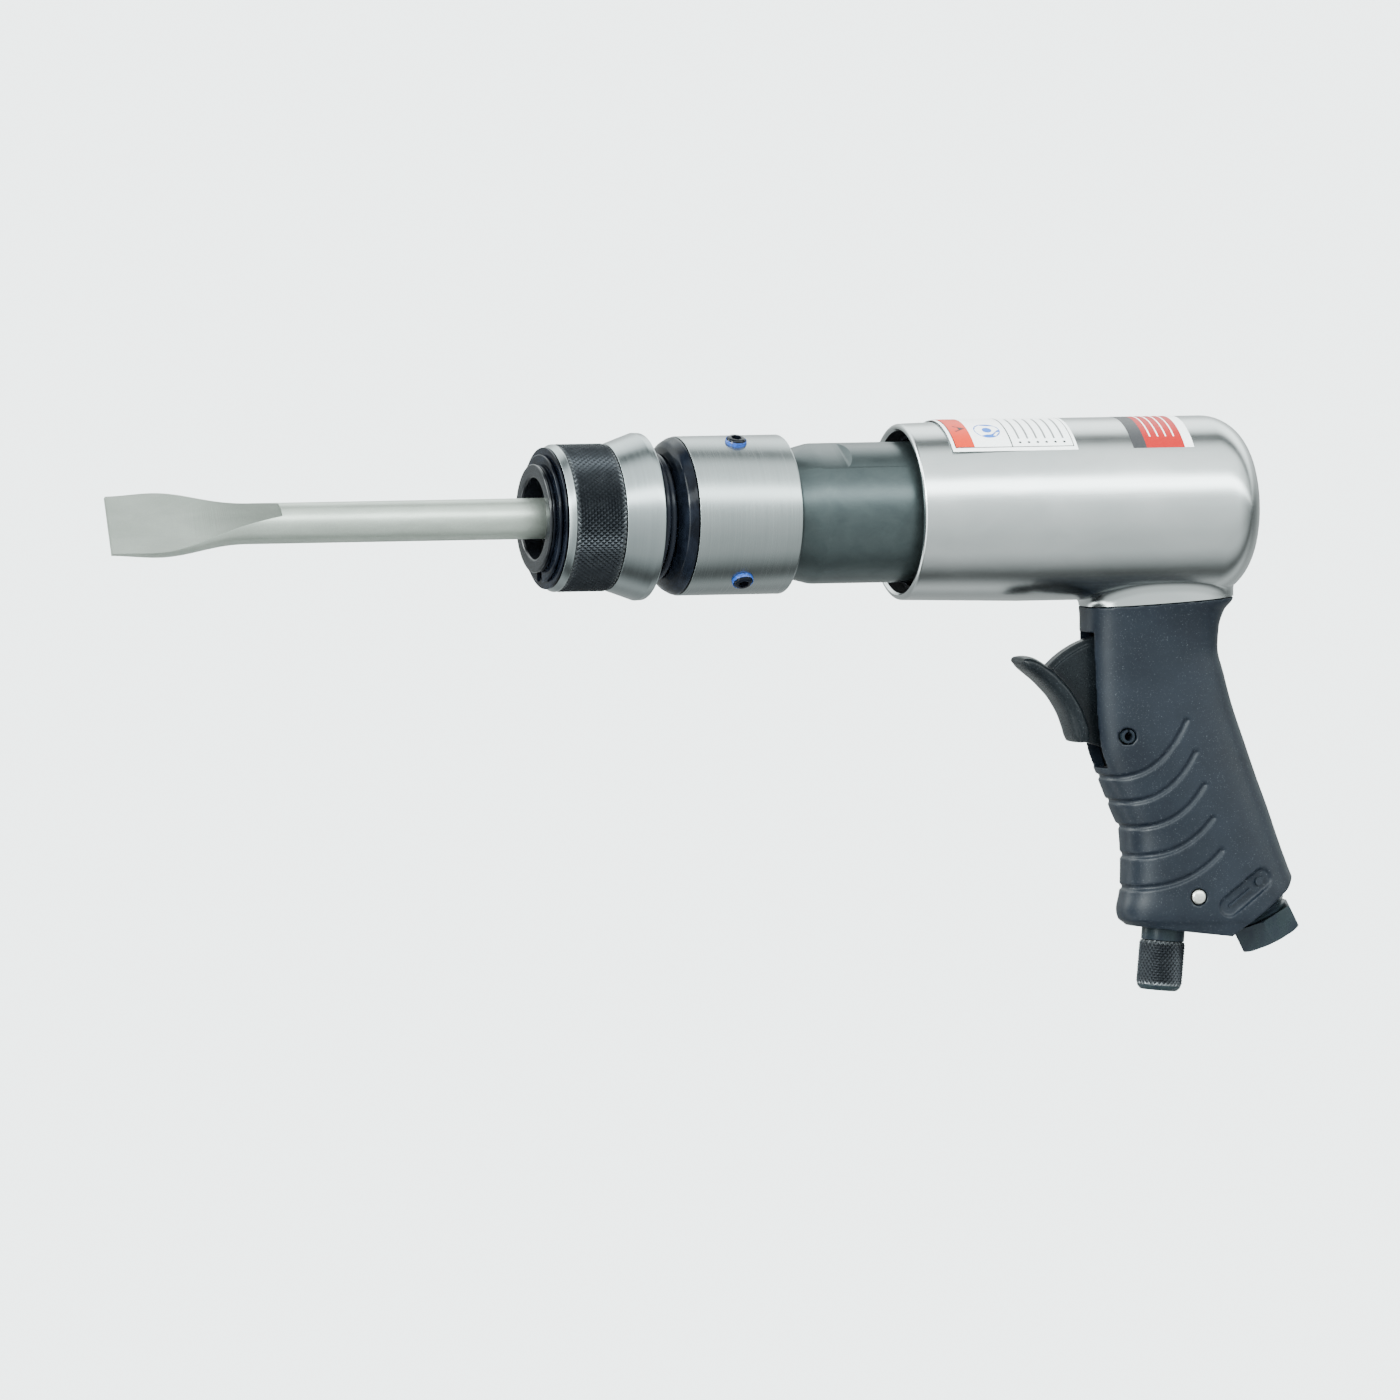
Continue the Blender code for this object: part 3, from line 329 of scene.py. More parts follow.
def printed_film(name, colour):
    """Printed vinyl: a flat ink colour with slight print mottle under a clear film."""
    n = Nodes(name)
    mottle = n.noise((1.5, 1.5, 1.5), 2.0)
    darker = tuple(value * 0.9 for value in colour)
    ink = n.combine(darker, colour, n.blotch(mottle, 0.3, 0.6))
    rough = n.ramp(mottle, (0.3, 0.4), (0.7, 0.5))
    return n.finish(ink, rough, n.bump(mottle, 0.004, 0.3), Specular_IOR_Level=0.3)


def thread_locker():
    n = Nodes("thread_locker")
    patch = n.noise((1.6, 1.6, 1.6), 3.0, 0.6)
    colour = n.combine((0.001, 0.012, 0.08), (0.004, 0.06, 0.32), n.blotch(patch, 0.3, 0.65))
    return n.finish(colour, n.ramp(patch, (0.3, 0.2), (0.7, 0.45)), n.bump(patch, 0.1, 0.6))


ALUMINIUM = polished_aluminium()
# Near-black painted shade for the housing's bore and the hidden core
BORE = painted_shade_bore()
COLLAR_METAL = turned_metal(
    "turned_collar", (0.22, 0.245, 0.245), (0.28, 0.305, 0.305), 0.22, 0.3, 5.0, 0.003
)
SLEEVE_METAL = turned_metal(
    "turned_sleeve", (0.24, 0.27, 0.275), (0.30, 0.33, 0.335), 0.18, 0.27, 6.0, 0.004
)
INNER_STEEL = turned_metal("turned_steel", (0.30, 0.31, 0.31), (0.42, 0.43, 0.43), 0.22, 0.36, 7.0, 0.006)
BARREL_METAL = barrel_steel()
BLACK = black_gloss("black_gloss", (0.0015, 0.002, 0.0035), 0.08, 0.16)
BLACK_HEX = black_gloss("blackened_hex", (0.010, 0.015, 0.017), 0.22, 0.34)
KNURL_METAL = knurled_steel()
CHISEL_METAL = blasted_zinc("blasted_zinc", 1.15, 0.33, 0.45)
# The flats' copy of the chisel's blasted finish at under half its brightness: painted shade on the flat faces
SHADED_FLAT_METAL = blasted_zinc("blasted_zinc_flat_painted_shade", 0.5, 0.5, 0.62)
GRIP_PLASTIC = composite(
    "grip_composite", (0.0025, 0.0045, 0.008), (0.0048, 0.0078, 0.0125), 0.36, 0.46, 0.02, 0.2
)
TRIGGER_PLASTIC = composite(
    "trigger_composite", (0.0025, 0.0036, 0.0046), (0.005, 0.0066, 0.008), 0.24, 0.32, 0.006, 0.1
)
RUBBER = rubber()
BRASS = plain_metal("machined_brass", (0.40, 0.27, 0.10), (0.56, 0.40, 0.18), 0.25, 0.4)
PIN_METAL = plain_metal("ground_pin", (0.50, 0.50, 0.46), (0.66, 0.66, 0.62), 0.3, 0.45)
SPRING_METAL = black_gloss("spring_wire", (0.008, 0.009, 0.012), 0.12, 0.22)
WHITE_FILM = printed_film("film_white", (0.93, 0.94, 0.94))
BLACK_FILM = printed_film("film_black", (0.008, 0.008, 0.01))
ORANGE_FILM = printed_film("film_orange", (0.52, 0.024, 0.002))
BLUE_FILM = printed_film("film_blue", (0.004, 0.10, 0.45))
GREY_FILM = printed_film("film_grey", (0.16, 0.165, 0.17))
SLATE_FILM = printed_film("film_slate", (0.03, 0.03, 0.033))
RED_FILM = printed_film("film_red", (0.34, 0.001, 0.0015))
LOCKER = thread_locker()

SLOT_FINISH = {
    "polished_aluminium": ALUMINIUM,
    "satin_steel": INNER_STEEL,
    "dark_steel": BARREL_METAL,
    "black_steel": BLACK,
    "forged_steel": CHISEL_METAL,
    "black_composite": GRIP_PLASTIC,
    "black_rubber": RUBBER,
    "brass": BRASS,
    "spring_steel": SPRING_METAL,
    "bright_pin": PIN_METAL,
}
NODE_SLOT = {part["node"]: part["material_slot"] for part in RECORD["subparts"]}


# ================================================================ mesh helpers
def turns(count):
    return [2 * math.pi * k / count for k in range(count)]


def circle(x, radius, count):
    """Points round the X axis."""
    return [(x, radius * math.cos(angle), radius * math.sin(angle)) for angle in turns(count)]


def axis_matrix(point, direction):
    """Carries +X to direction, at a point in millimetres."""
    return Matrix.Translation(point * MM) @ direction.to_track_quat("X", "Y").to_matrix().to_4x4()


@contextmanager
def editing(obj):
    """A BMesh of the object's mesh, written back at the end."""
    mesh = bmesh.new()
    mesh.from_mesh(obj.data)
    yield mesh
    mesh.to_mesh(obj.data)
    mesh.free()


def new_object(name, vertices, faces, material=None):
    """A mesh object from points in millimetres."""
    mesh = bpy.data.meshes.new(name)
    points = [tuple(value * MM for value in point) for point in vertices]
    mesh.from_pydata(points, [], faces)
    mesh.validate()
    obj = bpy.data.objects.new(name, mesh)
    bpy.context.scene.collection.objects.link(obj)
    if material:
        mesh.materials.append(material)
    return obj


def outward(obj):
    """Joins doubled points and turns every face outwards."""
    with editing(obj) as mesh:
        bmesh.ops.remove_doubles(mesh, verts=mesh.verts, dist=0.000001)
        bmesh.ops.recalc_face_normals(mesh, faces=mesh.faces)
    return obj


def shade(obj, angle=32):
    obj.data.shade_smooth()
    obj.data.set_sharp_from_angle(angle=math.radians(angle))
    return obj


def softened(points, steps=5, closed=True):
    """A profile with its corners rounded. A point is (x, r) or (x, r, fillet)."""
    result = []
    count = len(points)
    for i, point in enumerate(points):
        fillet = point[2] if len(point) > 2 else 0
        here = Vector(point[:2])
        ends = not closed and i in (0, count - 1)
        before = Vector(points[i - 1][:2]) - here
        after = Vector(points[(i + 1) % count][:2]) - here
        if not fillet or ends or before.length < 1e-6 or after.length < 1e-6:
            result.append(tuple(here))
            continue
        turn = before.angle(after)
        reach = min(fillet / math.tan(turn / 2), before.length * 0.49, after.length * 0.49)
        radius = reach * math.tan(turn / 2)
        before.normalize()
        after.normalize()
        middle = here + (before + after).normalized() * (radius / math.sin(turn / 2))
        first = here + before * reach - middle
        sweep = first.angle_signed(here + after * reach - middle)
        for k in range(steps + 1):
            angle = -sweep * k / steps
            cosine, sine = math.cos(angle), math.sin(angle)
            offset = Vector((first.x * cosine - first.y * sine, first.x * sine + first.y * cosine))
            result.append(tuple(middle + offset))
    return result


def revolved(name, profile, material, sides=128, matrix=None, shade_angle=32, steps=5):
    """A solid turned about X. The profile is a closed ring, or starts and ends on the axis."""
    ring = min(point[1] for point in profile) > 0
    line = softened(profile, steps, ring)
    vertices, rows = [], []
    for x, radius in line:
        if radius < 1e-6:
            rows.append([len(vertices)] * sides)
            vertices.append((x, 0, 0))
            continue
        rows.append(list(range(len(vertices), len(vertices) + sides)))
        vertices += circle(x, radius, sides)
    faces = []
    pairs = list(zip(rows, rows[1:])) + ([(rows[-1], rows[0])] if ring else [])
    for lower, upper in pairs:
        for i in range(sides):
            j = (i + 1) % sides
            face = list(dict.fromkeys((lower[i], lower[j], upper[j], upper[i])))
            if len(face) > 2:
                faces.append(face)
    obj = outward(new_object(name, vertices, faces, material))
    if matrix is not None:
        obj.data.transform(matrix)
    return shade(obj, shade_angle)


def lofted(name, rings, material=None):
    """A solid through rings of equally many points, with flat ends."""
    count = len(rings[0])
    vertices = [point for ring in rings for point in ring]
    faces = []
    for level in range(len(rings) - 1):
        for i in range(count):
            j = (i + 1) % count
            a, b = level * count, (level + 1) * count
            faces.append([a + i, a + j, b + j, b + i])
    faces.append(list(range(count))[::-1])
    faces.append(list(range(len(vertices) - count, len(vertices))))
    return outward(new_object(name, vertices, faces, material))


def rod(name, radius, start, end, sides=48):
    """A cylinder between two points."""
    start, along = Vector(start), Vector(end) - Vector(start)
    profile = [(0, 0), (0, radius), (along.length, radius), (along.length, 0)]
    return revolved(name, profile, None, sides, axis_matrix(start, along))


def block(name, low, high, matrix=None):
    x, y, z = ((low[i], high[i]) for i in range(3))
    corners = [(a, b, c) for a in x for b in y for c in z]
    faces = [[0, 1, 3, 2], [4, 6, 7, 5], [0, 4, 5, 1], [2, 3, 7, 6], [0, 2, 6, 4], [1, 5, 7, 3]]
    obj = outward(new_object(name, corners, faces))
    if matrix is not None:
        obj.data.transform(matrix)
    return obj


def cut(target, *tools, operation="DIFFERENCE"):
    """Applies Booleans and removes the tools."""
    for tool in tools:
        modifier = target.modifiers.new("cut", "BOOLEAN")
        modifier.operation = operation
        modifier.solver = "EXACT"
        modifier.object = tool
    apply_modifiers(target)
    for tool in tools:
        bpy.data.objects.remove(tool)
    return target


def apply_modifiers(obj):
    bpy.context.view_layer.update()
    graph = bpy.context.evaluated_depsgraph_get()
    mesh = bpy.data.meshes.new_from_object(obj.evaluated_get(graph))
    obj.modifiers.clear()
    obj.data = mesh
    return obj


def remeshed(obj, voxel_mm):
    """Rebuilds a solid as an even mesh, which rounds its edges as moulding does."""
    modifier = obj.modifiers.new("remesh", "REMESH")
    modifier.mode = "VOXEL"
    modifier.voxel_size = voxel_mm * MM
    modifier.use_smooth_shade = True
    relax = obj.modifiers.new("relax", "SMOOTH")
    relax.iterations = 2
    relax.factor = 0.5
    apply_modifiers(obj)
    obj.data.shade_smooth()


def tube(name, points, radius, material, sides):
    """A round wire along a list of points."""
    line = [Vector(point) for point in points]
    rings = []
    side = None
    for i, point in enumerate(line):
        tangent = (line[min(i + 1, len(line) - 1)] - line[max(i - 1, 0)]).normalized()
        if side is None:
            side = tangent.orthogonal().normalized()
        side = (side - tangent * side.dot(tangent)).normalized()
        other = tangent.cross(side)
        ring = [point + (side * math.cos(a) + other * math.sin(a)) * radius for a in turns(sides)]
        rings.append(ring)
    return shade(lofted(name, rings, material), 50)


def knurl(name, radius, start, end, pitch, depth, material, inner, matrix=None):
    """A sleeve with a diamond knurl: pyramids between crossing grooves. pitch: around and along."""
    around = 2 * round(math.pi * radius * 2 / pitch[0])
    along = max(2, 2 * round(abs(end - start) / pitch[1]))
    vertices, rows = [], []

    def ring(x, even, odd):
        rows.append(list(range(len(vertices), len(vertices) + around)))
        for i, angle in enumerate(turns(around)):
            height = odd if i % 2 else even
            vertices.append((x, height * math.cos(angle), height * math.sin(angle)))

    root = radius - depth
    ring(start, inner, inner)
    ring(start, root, root)
    for b in range(along + 1):
        x = start + (end - start) * (0.012 + 0.976 * b / along)
        peak = radius - depth * (0.55 if b in (0, along) else 0)
        ring(x, *((peak, root) if b % 2 else (root, peak)))
    ring(end, root, root)
    ring(end, inner, inner)
    faces = []
    for level in range(len(rows)):
        lower, upper = rows[level], rows[(level + 1) % len(rows)]
        for i in range(around):
            j = (i + 1) % around
            quad = (lower[i], lower[j], upper[j], upper[i])
            if not 2 <= level < len(rows) - 3:
                faces.append(quad)
            elif (i + level) % 2 == 0:
                faces += [(quad[0], quad[1], quad[2]), (quad[0], quad[2], quad[3])]
            else:
                faces += [(quad[0], quad[1], quad[3]), (quad[1], quad[2], quad[3])]
    obj = outward(new_object(name, vertices, faces, material))
    if matrix is not None:
        obj.data.transform(matrix)
    obj.data.shade_flat()
    return obj


def place(obj, body, slot, *nodes):
    """Rides a finished piece on its body and lets it stand for its CAD nodes."""
    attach(obj, body)
    if nodes:
        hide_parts(*nodes)


def radial(degrees):
    """Unit vector across the barrel, counted up from -Y towards +Z."""
    angle = math.radians(degrees)
    return Vector((0, -math.cos(angle), math.sin(angle)))


# ================================================================ handle shape
# Height, front edge, rear edge and half thickness of the handle's cross-sections
HANDLE = np.array(
    (
        (-20.0, -53.4, -3.2, 18.5),
        (-29.7, -52.6, -4.1, 15.6),
        (-33.0, -52.4, -7.0, 14.9),
        (-38.0, -52.4, -8.7, 14.4),
        (-44.0, -52.3, -9.1, 14.2),
        (-52.0, -52.0, -7.1, 14.2),
        (-62.0, -51.6, -4.2, 14.4),
        (-73.0, -50.4, -0.3, 14.7),
        (-84.0, -46.5, 3.6, 15.0),
        (-94.0, -42.4, 7.4, 15.2),
        (-101.5, -39.5, 10.0, 15.3),
        (-111.0, -39.1, 13.6, 15.4),
        (-119.0, -39.4, 17.0, 15.4),
        (-125.0, -40.5, 19.0, 15.3),
        (-127.8, -39.9, 20.0, 15.0),
        (-129.6, -37.6, 20.6, 14.2),
        (-137.0, -33.0, 23.0, 12.5),
    )
)[::-1]
# The top leans by this slope about a middle; sections are superellipses of this power
HANDLE_TOP = -28.9
TOP_TILT = 0.058
TOP_MIDDLE = -28.5
SQUARENESS = 2.5
# Planes that end the handle below: a point and an outward normal in XZ
BASE_PLANES = (
    ((-7.5, -133.2), (-0.113, -0.994)),
    ((-7.5, -133.2), (0.599, -0.802)),
    ((11.5, -119.0), (0.778, -0.629)),
)
GRIP_WALL = 3.0
GAP = 0.3
# The trigger's slot
SLOT_HALF = 6.6
SLOT_Z = (-80.5, -38.3)
SLOT_BACK = -32.5


def smooth_column(levels, column):
    """Piecewise cubic through the handle's stations, without overshoot."""
    heights, values = HANDLE[:, 0], HANDLE[:, column]
    slopes = np.diff(values) / np.diff(heights)
    tangents = np.zeros(len(values))
    for i in range(1, len(values) - 1):
        a, b = slopes[i - 1], slopes[i]
        tangents[i] = 0 if a * b <= 0 else 2 * a * b / (a + b)
    tangents[0], tangents[-1] = slopes[0], slopes[-1]
    index = np.clip(np.searchsorted(heights, levels) - 1, 0, len(slopes) - 1)
    step = heights[index + 1] - heights[index]
    t = (levels - heights[index]) / step
    h00, h10 = 2 * t**3 - 3 * t**2 + 1, t**3 - 2 * t**2 + t
    h01, h11 = -2 * t**3 + 3 * t**2, t**3 - t**2
    return (
        h00 * values[index]
        + h10 * step * tangents[index]
        + h01 * values[index + 1]
        + h11 * step * tangents[index + 1]
    )


def handle_section(level):
    return tuple(float(smooth_column(np.array([level]), k)[0]) for k in (1, 2, 3))


def handle_ring(level, inset, sides):
    front, rear, half_y = handle_section(level)
    front, rear, half_y = front + inset, rear - inset, half_y - inset
    middle, half_x = (front + rear) / 2, (rear - front) / 2
    fade = max(0.0, min(1.0, (level + 60) / 30))
    power = 2 / SQUARENESS
    ring = []
    for angle in turns(sides):
        cosine, sine = math.cos(angle), math.sin(angle)
        x = middle + half_x * math.copysign(abs(cosine) ** power, cosine)
        y = half_y * math.copysign(abs(sine) ** power, sine)
        ring.append((x, y, level + TOP_TILT * fade * (x - TOP_MIDDLE)))
    return ring


def handle_solid(name, inset, top, levels, sides, material=None):
    heights = np.linspace(top, HANDLE[0, 0], levels)
    obj = lofted(name, [handle_ring(level, inset, sides) for level in heights], material)
    with editing(obj) as mesh:
        for (x, z), (normal_x, normal_z) in BASE_PLANES:
            normal = Vector((normal_x, 0, normal_z)).normalized()
            result = bmesh.ops.bisect_plane(
                mesh,
                geom=mesh.verts[:] + mesh.edges[:] + mesh.faces[:],
                plane_co=Vector((x, 0, z)) * MM - normal * inset * MM,
                plane_no=normal,
                clear_outer=True,
            )
            rim = [item for item in result["geom_cut"] if isinstance(item, bmesh.types.BMEdge)]
            bmesh.ops.edgenet_fill(mesh, edges=rim)
        bmesh.ops.remove_doubles(mesh, verts=mesh.verts, dist=0.000005)
        bmesh.ops.recalc_face_normals(mesh, faces=mesh.faces)
    return obj


def side_y(x, level):
    """Half thickness of the handle at a place on its side."""
    front, rear, half_y = handle_section(level)
    middle, half_x = (front + rear) / 2, (rear - front) / 2
    across = min(1.0, abs(x - middle) / half_x)
    return half_y * (1 - across**SQUARENESS) ** (1 / SQUARENESS)


def across_bar(name, middle, radius, half=30):
    """A bar along Y."""
    reach = Vector((0, half, 0))
    return rod(name, radius, middle - reach, middle + reach, 32)


def trigger_slot():
    return block("slot", (-62, -SLOT_HALF, SLOT_Z[0]), (SLOT_BACK, SLOT_HALF, SLOT_Z[1]))


# ================================================================ housing, barrel and grip
REAR_ROUND = 15.5


def housing_underside(x, y):
    """Height of the housing's lower surface at a place in plan."""
    radius = HOUSING_R
    if x > -REAR_ROUND:
        drop = math.sqrt(max(0.0, REAR_ROUND**2 - (x + REAR_ROUND) ** 2))
        radius = HOUSING_R - REAR_ROUND + drop
    return -math.sqrt(max(0.0, radius**2 - y**2))


def neck_rings(sides=160, levels=14):
    """The neck's outline at the grip's top, carried up and filleted into the housing's surface."""
    base = [Vector(point) for point in handle_ring(HANDLE_TOP, 0.05, sides)]
    rings = [[] for _ in range(levels + 2)]
    for i, point in enumerate(base):
        edge = base[(i + 1) % sides] - base[i - 1]
        normal = Vector((edge.y, -edge.x, 0)).normalized()

        def surface(s):
            return housing_underside(point.x + normal.x * s, point.y + normal.y * s)

        radius, slope, foot = 4.0, 0.0, 0.0
        for _ in range(8):
            root = math.sqrt(1 + slope**2)
            touch = radius * (1 - slope / root)
            slope = (surface(touch + 0.1) - surface(touch - 0.1)) / 0.2
            root = math.sqrt(1 + slope**2)
            foot = surface(touch) - slope * touch
            radius = max(0.4, min(5.0, 0.96 * (foot - point.z) / (root - slope)))
        centre = foot + slope * radius - radius * root
        last = math.pi / 2 + math.atan(slope)
        rings[0].append(tuple(point))
        for k in range(levels):
            share = k / (levels - 1)
            angle = math.pi + (last - math.pi) * share
            s = radius + radius * math.cos(angle)
            height = centre + radius * math.sin(angle) + 0.06 * share
            spot = point + normal * s
            rings[k + 1].append((spot.x, spot.y, height))
        spot = point + normal * (s * 0.5)
        rings[-1].append((spot.x, spot.y, height + 1.5))
    return rings


# Below this height the core is hidden by the grip, and gets the bore's near-black painted shade
CORE_TOP = -37


def build_housing():
    profile = [(0, 0), (0, HOUSING_R, REAR_ROUND), (-75, HOUSING_R, 60)]
    profile += [(MOUTH_X, 27.35, 1.3), (MOUTH_X, 0)]
    housing = revolved("housing_shell", profile, ALUMINIUM, 144, None, 40, 14)
    housing.data.materials.append(BORE)
    housing.data.materials.append(BLACK_HEX)
    neck = lofted("neck", neck_rings())
    core = handle_solid("core", GRIP_WALL + GAP, -25, 40, 48)
    ridges = [(-12, 0), (-12, 8.5)]
    for k in range(8):
        ridges += [(-11.6 + 1.4 * k, 8.45), (-10.9 + 1.4 * k, 9.15)]
    ridges += [(-GAP, 8.7), (-GAP, 0)]
    boss = revolved("boss", ridges, None, 64, axis_matrix(INLET_POINT, INLET_DOWN))
    cut(housing, neck, core, boss, operation="UNION")
    inside = [(-8, 0), (-8, 18.1), (-36, 18.1), (-36, 20.1), (-62, 20.1), (-62, 25.2, 0.5)]
    inside += [(MOUTH_X + 0.8, 25.2), (MOUTH_X - 0.2, 26.0), (MOUTH_X - 3, 26.0), (MOUTH_X - 3, 0)]
    bore = revolved("bore", inside, None, 144)
    knob_bore = rod("knob_bore", 6.4, KNOB_POINT - KNOB_DOWN * 28, KNOB_POINT + KNOB_DOWN * 20)
    inlet_bore = rod("inlet_bore", 7.5, INLET_POINT - INLET_DOWN * 13.4, INLET_POINT + INLET_DOWN * 15)
    throttle = rod("throttle", 5.6, (-40, 0, THROTTLE_Z), (5, 0, THROTTLE_Z))
    pins = [across_bar("pin_hole", PIVOT, 2.4), across_bar("cross_hole", CROSS_PIN, 2.35)]
    cut(housing, bore, knob_bore, inlet_bore, throttle, trigger_slot(), *pins)
    # The bore and the hidden core get the near-black material that paints the shade inside the mouth
    for polygon in housing.data.polygons:
        centre = polygon.center / MM
        within = math.hypot(centre.y, centre.z) < 25.4 and MOUTH_X + 0.5 < centre.x < -7.5
        polygon.material_index = 1 if within or centre.z < CORE_TOP else 0
        if centre.z < INLET_POINT.z + 16 and (centre - INLET_POINT).cross(INLET_DOWN).length < 9.3:
            polygon.material_index = 2
    shade(housing, 28)
    place(housing, "frame", "polished_aluminium", "housing")


def groove_height(start, end, x):
    run, rise = end[0] - start[0], end[1] - start[1]
    share = max(0.0, min(1.0, (x - start[0]) / run))
    bend = 0.62
    step = share / (bend + math.sqrt(bend * bend + (1 - 2 * bend) * share))
    return start[1] + rise * step * step


def groove_points(start, end, lift):
    """Points along one side's groove, dense round the front edge, mirrored to the other side."""
    side = []
    steps = 70
    for i in range(steps + 1):
        share = (i / steps) ** 2.4
        x, level = start
        for _ in range(8):
            front, rear, half_y = handle_section(level)
            x = front + (end[0] - front) * share
            level = groove_height(start, end, x)
        y = side_y(x, level)
        half_x = (rear - front) / 2
        across = min(1.0, abs(x - (front + rear) / 2) / half_x)
        out = Vector((-(across**1.5) / half_x, (y / half_y) ** 1.5 / half_y, 0)).normalized()
        side.append(Vector((x, y, level)) + out * lift)
    return [Vector((p.x, -p.y, p.z)) for p in side[:0:-1]] + side


GROOVES = (
    ((-46.3, -83.6), (-22.9, -65.0)),
    ((-43.2, -91.3), (-20.1, -75.0)),
    ((-39.9, -99.2), (-17.2, -85.2)),
    ((-38.9, -108.0), (-14.4, -95.5)),
    ((-39.2, -117.9), (-11.5, -105.7)),
)
PAD_CENTRE = Vector((-3.8, 0, -119.5))
PAD_TILT = math.radians(37)


def stadium(half_length, half_width, steps=12):
    """An outline with round ends."""
    for k in range(2 * steps + 2):
        right = k <= steps
        angle = math.radians(-90 + 180 * (k if right else k - 1) / steps)
        end = half_length if right else -half_length
        yield math.cos(angle) * half_width + end, math.sin(angle) * half_width


def pad_point(u, v, out):
    """A place on the grip's side near the recessed pad: u along the pad, v across, out from the surface."""
    x = PAD_CENTRE.x + u * math.cos(PAD_TILT) - v * math.sin(PAD_TILT)
    z = PAD_CENTRE.z + u * math.sin(PAD_TILT) + v * math.cos(PAD_TILT)
    return (x, -(side_y(x, z) + out), z)


def pad_slab(name, outline, low, high, material=None):
    """A slab that follows the grip's side, from low to high above the surface."""
    return lofted(name, [[pad_point(u, v, out) for u, v in outline] for out in (low, high)], material)


def build_grip():
    grip = handle_solid("grip_body", 0, HANDLE_TOP - GAP, 170, 160, GRIP_PLASTIC)
    tools = []
    for i, (start, end) in enumerate(GROOVES):
        tools.append(tube(f"groove_{i}", groove_points(start, end, 0.2), 1.0, None, 12))
    tools += [trigger_slot(), across_bar("pin_hole", PIVOT, 2.6), across_bar("cross_hole", CROSS_PIN, 2.6)]
    tools.append(rod("knob_hole", 7.5, KNOB_POINT - KNOB_DOWN * 10, KNOB_POINT + KNOB_DOWN * 20))
    tools.append(rod("inlet_hole", 9.7, INLET_POINT - INLET_DOWN * 10, INLET_POINT + INLET_DOWN * 15))
    tools.append(pad_slab("pad", list(stadium(6.9, 3.3)), -0.75, 3.0))
    cut(grip, *tools)
    remeshed(grip, 0.42)
    cut(grip, handle_solid("hollow", GRIP_WALL, -24, 30, 48))
    shade(grip, 50)
    place(grip, "frame", "black_composite", "grip")
    drop = []
    for angle in turns(28):
        radius = 1.25 + 1.2 * max(0.0, math.cos(angle)) ** 6
        drop.append((5.6 + radius * math.cos(angle), 1.25 * math.sin(angle)))
    emblem = pad_slab("oil_drop_emblem", drop, -1.0, -0.35, GRIP_PLASTIC)
    place(shade(emblem, 40), "frame", "black_composite")
    outline = [(u - 2.4, v) for u, v in stadium(4.2, 0.32, 6)]
    bar = pad_slab("oil_pad_bar", outline, -1.0, -0.4, GRIP_PLASTIC)
    place(shade(bar, 40), "frame", "black_composite")


def build_barrel():
    front = COLLAR_HIGH.x + 0.3
    profile = [
        (BARREL_HIGH.x, 9.55, 0.4),
        (BARREL_HIGH.x, 19.6, 0.6),
        (-66, 19.6),
        (-66, BARREL_R, 0.8),
        (front + 9.5, BARREL_R, 9.0),
        (front, 19.4, 2.6),
        (front, 15.5),
        (BARREL_LOW.x, 15.5, 0.6),
        (BARREL_LOW.x, 9.55, 0.4),
    ]
    barrel = revolved("barrel_tube", profile, BARREL_METAL, 128, None, 32, 10)
    turn = Matrix.Rotation(math.radians(90 - 64), 4, "X")
    flats = []
    for side in (1, -1):
        low, high = sorted((20.3 * side, 30 * side))
        flats.append(block("flat", (-160, -20, low), (-136.2, 20, high), turn))
        scoop = rod("scoop", 6.0, (-136.2, -20, 26.3 * side), (-136.2, 20, 26.3 * side), 64)
        scoop.data.transform(turn)
        flats.append(scoop)
    ports = []
    for x in (-84, -96):
        for side in (1, -1):
            ports.append(rod("port", 2.2, (x, 6 * side, 0), (x, 30 * side, 0), 20))
    cut(barrel, *flats, *ports)
    shade(barrel, 24)
    place(barrel, "frame", "dark_steel", "barrel")


# ================================================================ quick-change retainer
SCREW_ANGLES = (68.5, -51.5, 188.5)
SCREW_HOLE_R = 3.45
SLEEVE_BORE = 17.05
TUBE_R = 16.7


def screw_hole(angle, depth, sides):
    """A hole from depth to past the collar."""
    out = radial(angle)
    return rod("hole", SCREW_HOLE_R, SCREW_CENTRE + out * depth, SCREW_CENTRE + out * 30, sides)


def build_collar():
    rear, front = COLLAR_HIGH.x, COLLAR_LOW.x
    profile = [
        (rear, 21.5, 0.2),
        (rear, COLLAR_R, 0.75),
        (front, COLLAR_R, 0.22),
        (front, 21.5, 0.2),
    ]
    collar = revolved("collar_ring", profile, COLLAR_METAL, 160, None, 32, 4)
    cut(collar, *[screw_hole(angle, 19, 40) for angle in SCREW_ANGLES])
    shade(collar, 30)
    place(collar, "frame", "satin_steel", "retainer_collar")
    for i, angle in enumerate(SCREW_ANGLES):
        build_set_screw(i + 1, axis_matrix(SCREW_CENTRE, radial(angle)))


def build_set_screw(number, lay):
    """A socket set screw with thread turns at its rim and a ring of thread locker."""
    top = 26.4
    profile = [(19.0, 0), (19.0, 2.6)]
    for k in range(9):
        base = 19.4 + k * 0.68
        profile += [(base, 2.72), (base + 0.34, 3.14)]
    profile += [(top - 0.55, 2.9), (top - 0.12, 2.55, 0.3), (top, 2.0), (top, 0)]
    screw = revolved(f"set_screw_body_{number}", profile, BLACK, 40, lay, 40)
    socket = lofted("socket", [circle(x, 1.75, 6) for x in (23.2, 28.0)])
    socket.data.transform(lay)
    cut(screw, socket)
    shade(screw, 40)
    place(screw, "frame", "black_steel", f"set_screw_{number}")
    ring = [(24.2, 3.05), (25.5, 3.1, 0.1), (25.85, 3.2, 0.1), (25.5, 3.34, 0.15), (24.2, 3.38)]
    locker = revolved(f"thread_locker_{number}", ring, LOCKER, 48, lay, 60)
    place(locker, "frame", "black_steel")


